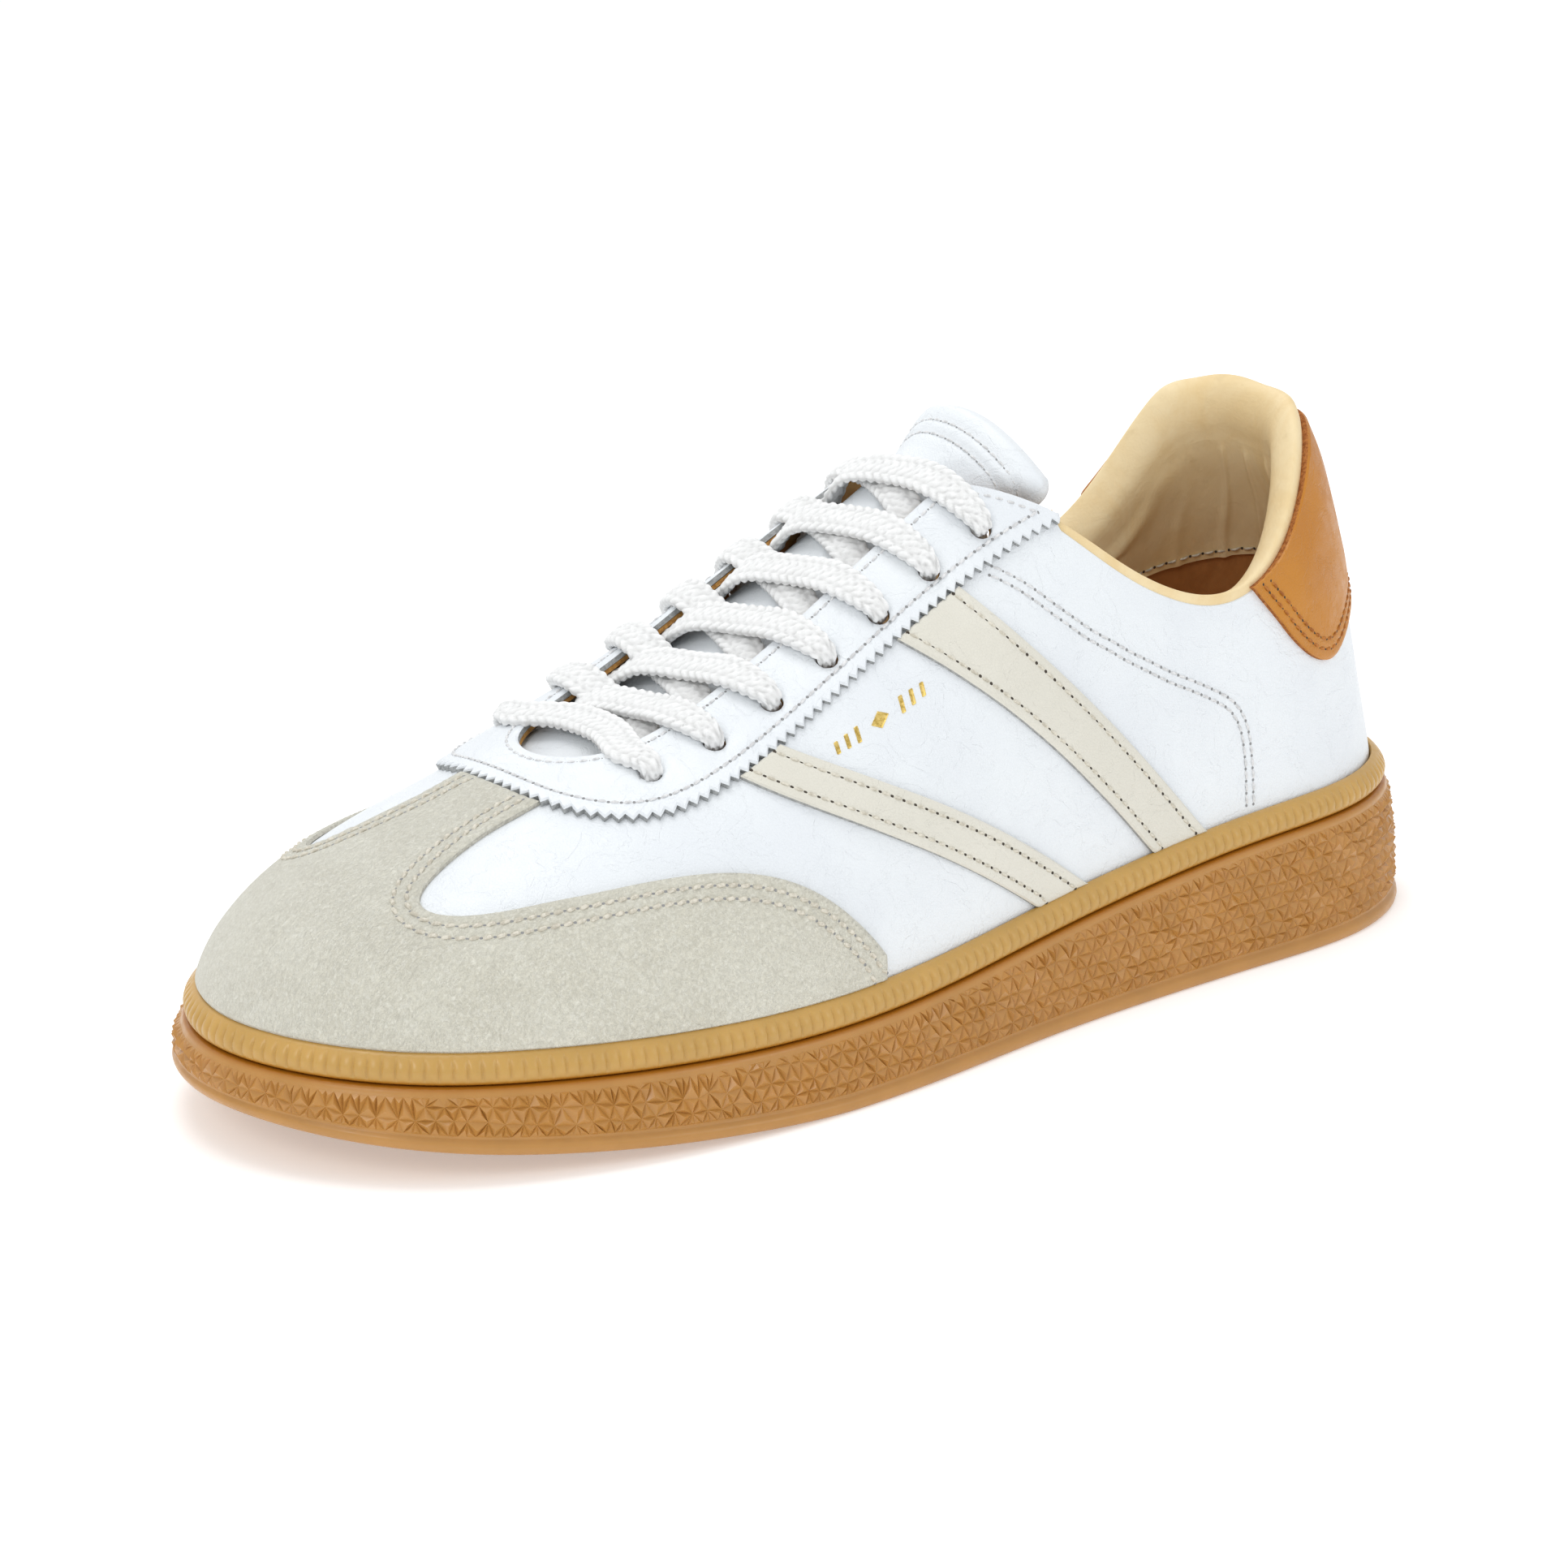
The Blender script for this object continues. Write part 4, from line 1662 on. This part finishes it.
def make_collar():
    """The padded lining: a roll over the top line, its soft inside, its hem and the lining below."""
    ks = np.linspace(-LINING_END, LINING_END, 320)
    joined = from_heel(ks) < EYESTAY_END
    t_top = np.where(joined, collar_top(ks), at_reach(ks, eyestay_reach(ks) - EYESTAY_OVERLAP + 1))
    top, top_normal = upper(ks, t_top), upper_normal(ks, t_top)
    upwards = unit(upper(ks, np.minimum(t_top + 0.01, 1)) - upper(ks, t_top - 0.01))
    thick = -LINING_GAP + padding(ks, t_top) + LINING_THICKNESS
    t_start = at_height(ks, top[:, 2] - ROLL_DEPTH)
    t_hem = at_height(ks, np.minimum(hem_height(ks), top[:, 2] - ROLL_DEPTH - 2))
    t_low = above_board(ks)
    # the roll stands up behind the ankle and thins out along the sides
    rise = 0.9 + 4.6 * (1 - smooth(from_heel(ks), 1.9, 3.0)) * joined
    rise = rise * (1 - smooth(from_heel(ks), 4.1, 4.4)) + 0.2
    rows = [top + top_normal * -1.6 - upwards * 3.0, top + top_normal * -0.15 - upwards * 1.6]
    for a in np.linspace(0.02, 1, ROLL_ROWS):
        across = 0.25 - (thick + 0.25) * (1 - math.cos(math.pi * a)) / 2
        swell_out = 0.5 * rise / 5.5 * math.sin(math.pi * min(a * 2.2, 1))
        high = rise * math.sin(math.pi * a) ** 0.75 * (1.25 - 0.75 * a) - ROLL_DEPTH * a**2.2
        p = top + top_normal * (across + swell_out)[:, None] + upwards * high[:, None]
        wave = 0.25 * noise(p, 16, 25) + 0.1 * noise(p, 6, 26)
        rows.append(p + top_normal * (wave * math.sin(math.pi * a) * -0.5)[:, None])

    def inside(t, extra, low):
        p, n = upper(ks, t), upper_normal(ks, t)
        face = LINING_GAP - padding(ks, t) - LINING_THICKNESS + extra
        return p + n * (face + np.minimum(folds(p, ks, low), 0.8) * low)[:, None]

    for f in np.linspace(0, 1, 46)[1:]:
        rows.append(inside(t_start + (t_hem - t_start) * f, 0.0, smooth(f, 0.0, 0.2)))
    hem = len(rows) - 1
    seam = len(rows) - 3
    for f in np.linspace(0, 1, 22):
        rows.append(inside(t_hem + (t_low - t_hem) * f, 0.9, 0.5 * (1 - smooth(f, 0.7, 1.0))))
    lowest = len(rows) - 1
    for f in np.linspace(1, 0, 16)[:-1]:
        t = t_top + (t_low - t_top) * f
        rows.append(upper(ks, t) + upper_normal(ks, t) * -1.75)
    block = np.stack(rows, 1)
    n, m = block.shape[:2]
    grid = np.arange(n * m).reshape(n, m)
    ahead = np.roll(grid, -1, axis=1)
    quads = np.stack([grid[:-1], grid[1:], ahead[1:], ahead[:-1]], -1)
    looks = np.zeros((n - 1, m), int)
    looks[:, hem + 1:lowest] = 1
    looks[:, hem] = 2
    points, caps = close_ends(block.reshape(-1, 3), grid, -1)
    obj = build("collar_padded_lining", points, [quads.reshape(-1, 4), caps],
                [LOOKS["beige"], LOOKS["brown"], LOOKS["cut_tan"]],
                [looks.ravel(), np.zeros(len(caps))], crease=70)
    settle(obj, ["collar_lining", "collar_foam"])
    line = block[:, seam]
    away = unit(np.cross(np.gradient(line, axis=0), block[:, seam + 2] - block[:, seam - 2]))
    away *= np.sign((away * -upper_normal(ks, t_hem)).sum(1))[:, None]
    shown = slice(HEM_MARGIN, -HEM_MARGIN)
    stitch_rows("stitches_collar_hem", [(line[shown] + away[shown] * 0.05, away[shown])],
                LOOKS["cream_thread"], pitch=3.0, gap=0.8, radius=0.3, height=0.05, holes=LOOKS["dark_hole"])


def footbed_inset(k):
    """How far inside the sole's edge the footbed ends."""
    return 9.6 + 2.8 * swell(k, 0, 3.5) + 2.6 * swell(k, 12, 3)


def make_footbed():
    """The leather cover of the footbed, dished at the heel."""
    u = np.linspace(0.02, TOE - 0.02, 190)
    v = np.linspace(0, 1, 60)

    def place(k, f):
        a, b = sole_edge(k, footbed_inset(k)), sole_edge(SPANS - k, footbed_inset(SPANS - k))
        p = a + (b - a) * f[:, None]
        x = p[:, 0]
        dish = 2.2 * (2 * f - 1) ** 4 * smooth(x, 14, 70) * (1 - smooth(x, 220, 280))
        z = ledge(x) + RAND_RISE + 4.2 + 1.6 * (1 - smooth(x, 60, 160)) + dish
        return np.column_stack([p, z]), np.tile([0.0, 0.0, 1.0], (len(k), 1))

    shell = Shell(u, v, place, outer=1.2, inner=0.3, edge=0.5,
                  relief=lambda p, e, k, f: 0.25 * noise(p, 16, 31) + 0.08 * noise(p, 4, 32))
    shell.piece("footbed_leather", "brown cut_tan", ["footbed_cover"])


def make_vamp_lining():
    high = tabulated(lambda k: at_reach(k, eyestay_reach(k) - EYESTAY_OVERLAP + 1))
    shell = Shell(np.linspace(5, SPANS - 5, 180), np.linspace(0, 1, 40), between(above_board, high),
                  outer=-3.4, inner=-4.2, edge=0.3, relief=lambda p, e, k, v: 0.2 * noise(p, 14, 41))
    shell.piece("vamp_lining_cloth", "tan cut_tan", ["vamp_lining"])


make_collar()
make_footbed()
make_vamp_lining()

# ---------------------------------------------------------------- the tongue
TONGUE_FRONT = 226.0
TONGUE_TOP = 112.5
TONGUE_HALF_WIDTH = 23.5
TONGUE_FRONT_HALF_WIDTH = 17.0
TONGUE_WING = 11.5
TONGUE_CORNER = 6.0
TONGUE_ROWS = (5.5, 8.1)         # the stitch rows' distances from the top edge


def index_tables():
    """Outline index against spine station, for each side."""
    lateral = np.linspace(3, TOE - 1, 900)
    medial = np.linspace(TOE + 1, SPANS - 3, 900)
    return (station_of(lateral), lateral), (station_of(medial)[::-1], medial[::-1])


LATERAL_INDEX, MEDIAL_INDEX = index_tables()


def instep_index(x, reach):
    """Station and outline index under a place on the tongue; ahead of the throat they stay put."""
    station = np.minimum(x, THROAT_STATION - 8)
    return station, np.where(reach > 0, np.interp(station, *LATERAL_INDEX), np.interp(station, *MEDIAL_INDEX))


def instep(x, reach):
    """Point of the instep at a station along the spine and a signed reach to either side."""
    station, k = instep_index(x, reach)
    p = upper(k, at_reach(k, np.abs(reach)))
    ahead = x - station
    return np.stack([p[..., 0] + x - station_of(k), p[..., 1], p[..., 2] - ahead * THROAT_SLOPE], -1)


def instep_normal(x, reach):
    dx = instep(x + 1, reach) - instep(x - 1, reach)
    across = instep(x, reach + 1) - instep(x, reach - 1)
    return unit(np.cross(dx, across))


def tongue_half_width(x):
    taper = smooth(x, THROAT_STATION - 20, TONGUE_FRONT)
    wing = TONGUE_WING * (1 - smooth(x, TONGUE_TOP, TONGUE_TOP + 15))
    width = TONGUE_HALF_WIDTH + (TONGUE_FRONT_HALF_WIDTH - TONGUE_HALF_WIDTH) * taper + wing
    corner = np.clip((TONGUE_TOP + TONGUE_CORNER - x) / TONGUE_CORNER, 0, 1)
    return width - TONGUE_CORNER * (1 - np.sqrt(1 - corner * corner * 0.98))


def tongue_down(u, v):
    """Distance down the tongue from its top edge, the same all the way across."""
    return (TONGUE_FRONT - TONGUE_TOP) * u**1.4


def tongue_spot(u, v):
    """Station along the spine and signed reach of a place on the tongue: its top edge slopes back."""
    straight = TONGUE_TOP + tongue_down(u, v)
    slope = 5.5 * np.abs(v) ** 1.7 * (1 - smooth(u, 0.0, 0.35))
    return straight - slope, v * tongue_half_width(straight)


def tongue_place(u, v):
    x, reach = tongue_spot(u, v)
    p = instep(x, reach)
    p[:, 2] -= 1.4 * smooth(x, THROAT_STATION - 25, THROAT_STATION)
    return p, instep_normal(x, reach)


def tongue_height(x, reach):
    """How far the tongue's face stands over its base: up between the facings, and above them."""
    _, k = instep_index(x, reach)
    gap = lacing_edge(k) - np.abs(reach)
    above = 1 - smooth(x, 113, 126)
    throat = smooth(x, 192, 208) * smooth(gap, -12, 2)
    return (4.6 * above * smooth(gap, -1, 7) + 0.6 * (1 - above) * smooth(gap, 3, 14) * (1 - throat)
            + 3.1 * throat)


def tongue_lift(x, reach):
    """How far the tongue's thin edge is raised where it stands clear of the facings."""
    return 0.8 * tongue_height(x, reach) * (1 - smooth(x, 118, 128))


def make_tongue():
    u = np.linspace(0, 1, 130)
    v = np.linspace(-1, 1, 84)

    def puff(p, e, u, v):
        x, reach = tongue_spot(u, v)
        down = tongue_down(u, v)
        rows = 0.35 * furrows(down, TONGUE_ROWS, 0.8)
        edge = tongue_lift(x, reach)
        pad = 1.5 * smooth(e, 0, 3.5) + (tongue_height(x, reach) - edge) * smooth(e, 0, 3)
        crown = 0.5 * smooth(e, 9, 16) * (1 - smooth(x, 126, 140))
        return pad + edge + rows + crown + 0.14 * noise(p, 12, 51)

    lift = lambda p, e, u, v: tongue_lift(*tongue_spot(u, v))
    top = Shell(u, v, tongue_place, outer=-5.6, inner=-7.1, edge=0.8, relief=puff, floor=lift)
    top_piece = top.piece("tongue_leather", "white white",
                          ["tongue_outer", "tongue_foam"], "tongue")
    under = Shell(u[::2], v[::2], tongue_place, outer=-7.15, inner=-8.6, edge=0.1, relief=lift,
                  floor=lambda p, e, u, v: lift(p, e, u, v) - 1.5 * smooth(e, 0, 7))
    under.piece("tongue_lining_leather", "tan tan", ["tongue_lining"], "tongue")
    sewn = lambda p, u, v: abs(v) < 0.93
    lines = top.seams(TONGUE_ROWS, sewn, tongue_down)
    stitch_rows("stitches_tongue", lines, LOOKS["white_thread"], pitch=2.6, gap=0.6, radius=0.28, height=0.0,
                body="tongue")


BAR_PLACES = (-12.5, -9.5, -6.5, 6.5, 9.5, 12.5)


def bars(a, b):
    """A plain mark: a lozenge between short upright bars. a and b are in mm from its middle."""
    result = 2.6 - np.abs(a) - 1.5 * np.abs(b)
    for centre in BAR_PLACES:
        tall = 2.1 - 0.06 * abs(centre)
        result = np.maximum(result, np.minimum(0.55 - np.abs(a - centre), tall - np.abs(b)))
    return result


MARK_INDEX = 6.02
MARK_HEIGHT = 0.485
MARK_TILT = math.radians(6)


def make_mark():
    """The gold foil mark on the lateral quarter: plain bars, no lettering."""
    a, b = np.linspace(-14.5, 14.5, 117), np.linspace(-3, 3, 31)
    k0, t0 = MARK_INDEX, MARK_HEIGHT
    per_index = np.linalg.norm(upper(k0 + 0.01, t0) - upper(k0 - 0.01, t0)) / 0.02
    per_height = np.linalg.norm(upper(k0, t0 + 0.01) - upper(k0, t0 - 0.01)) / 0.02

    def place(x, y):
        right = x * math.cos(MARK_TILT) - y * math.sin(MARK_TILT)
        rise = x * math.sin(MARK_TILT) + y * math.cos(MARK_TILT)
        k, t = k0 + right / per_index, t0 + rise / per_height
        p, n = upper(k, t), upper_normal(k, t)
        return p + n * quarter_relief(p)[:, None], n

    shell = Shell(a, b, place, bars, outer=0.14, inner=-0.1, edge=0.05)
    shell.piece("foil_mark_lateral", "foil foil")


make_tongue()
make_mark()

# ---------------------------------------------------------------- pieces inside the shoe
HIDDEN = {
    "midsole_insert": "insert", "lasting_board": "board", "footbed_foam": "insert", "toe_puff": "stiffener",
    "heel_counter": "stiffener",
}
for node, look in HIDDEN.items():
    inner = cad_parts[node]
    inner.data.materials.clear()
    inner.data.materials.append(LOOKS[look])


# ---------------------------------------------------------------- floor and light
LIGHT_AIM = (0.0, 0.0, 0.05)
FLOOR_HALF = 6


def add_stage():
    floor = bpy.data.meshes.new("floor")
    h = FLOOR_HALF
    floor.from_pydata([(-h, -h, 0), (h, -h, 0), (h, h, 0), (-h, h, 0)], [], [(0, 1, 2, 3)])
    look = Look("pale_floor", 0.9, Specular_IOR_Level=0.1, Emission_Strength=0.32)
    look.colour(look.mix(look.noise(400, 2), rgb(0.84, 0.84, 0.84), rgb(0.86, 0.86, 0.86)))
    look.put(look.shader.inputs["Emission Color"], rgb(1.0, 1.0, 1.0))
    floor.materials.append(look.material)
    obj = bpy.data.objects.new("floor", floor)
    bpy.context.scene.collection.objects.link(obj)
    world = bpy.data.worlds.new("studio")
    world.use_nodes = True
    background = world.node_tree.nodes["Background"]
    background.inputs["Color"].default_value = (0.97, 0.985, 1.0, 1.0)
    background.inputs["Strength"].default_value = 0.78
    bpy.context.scene.world = world


def add_light(name, place, size, power):
    """A soft round light aimed at the shoe."""
    data = bpy.data.lights.new(name, "AREA")
    data.shape = "DISK"
    data.size = size
    data.energy = power
    obj = bpy.data.objects.new(name, data)
    way = Vector(LIGHT_AIM) - Vector(place)
    obj.matrix_world = Matrix.Translation(place) @ way.to_track_quat("-Z", "Y").to_matrix().to_4x4()
    bpy.context.scene.collection.objects.link(obj)


add_stage()
add_light("top", (0.1, -0.25, 1.5), 0.9, 6.5)
add_light("key", (1.1, 0.5, 0.9), 0.5, 2.7)
add_light("side", (-0.7, 1.1, 0.7), 0.5, 1.6)
add_light("back", (-0.4, -1.1, 1.0), 0.8, 2.4)
bpy.context.scene.view_settings.view_transform = "Standard"
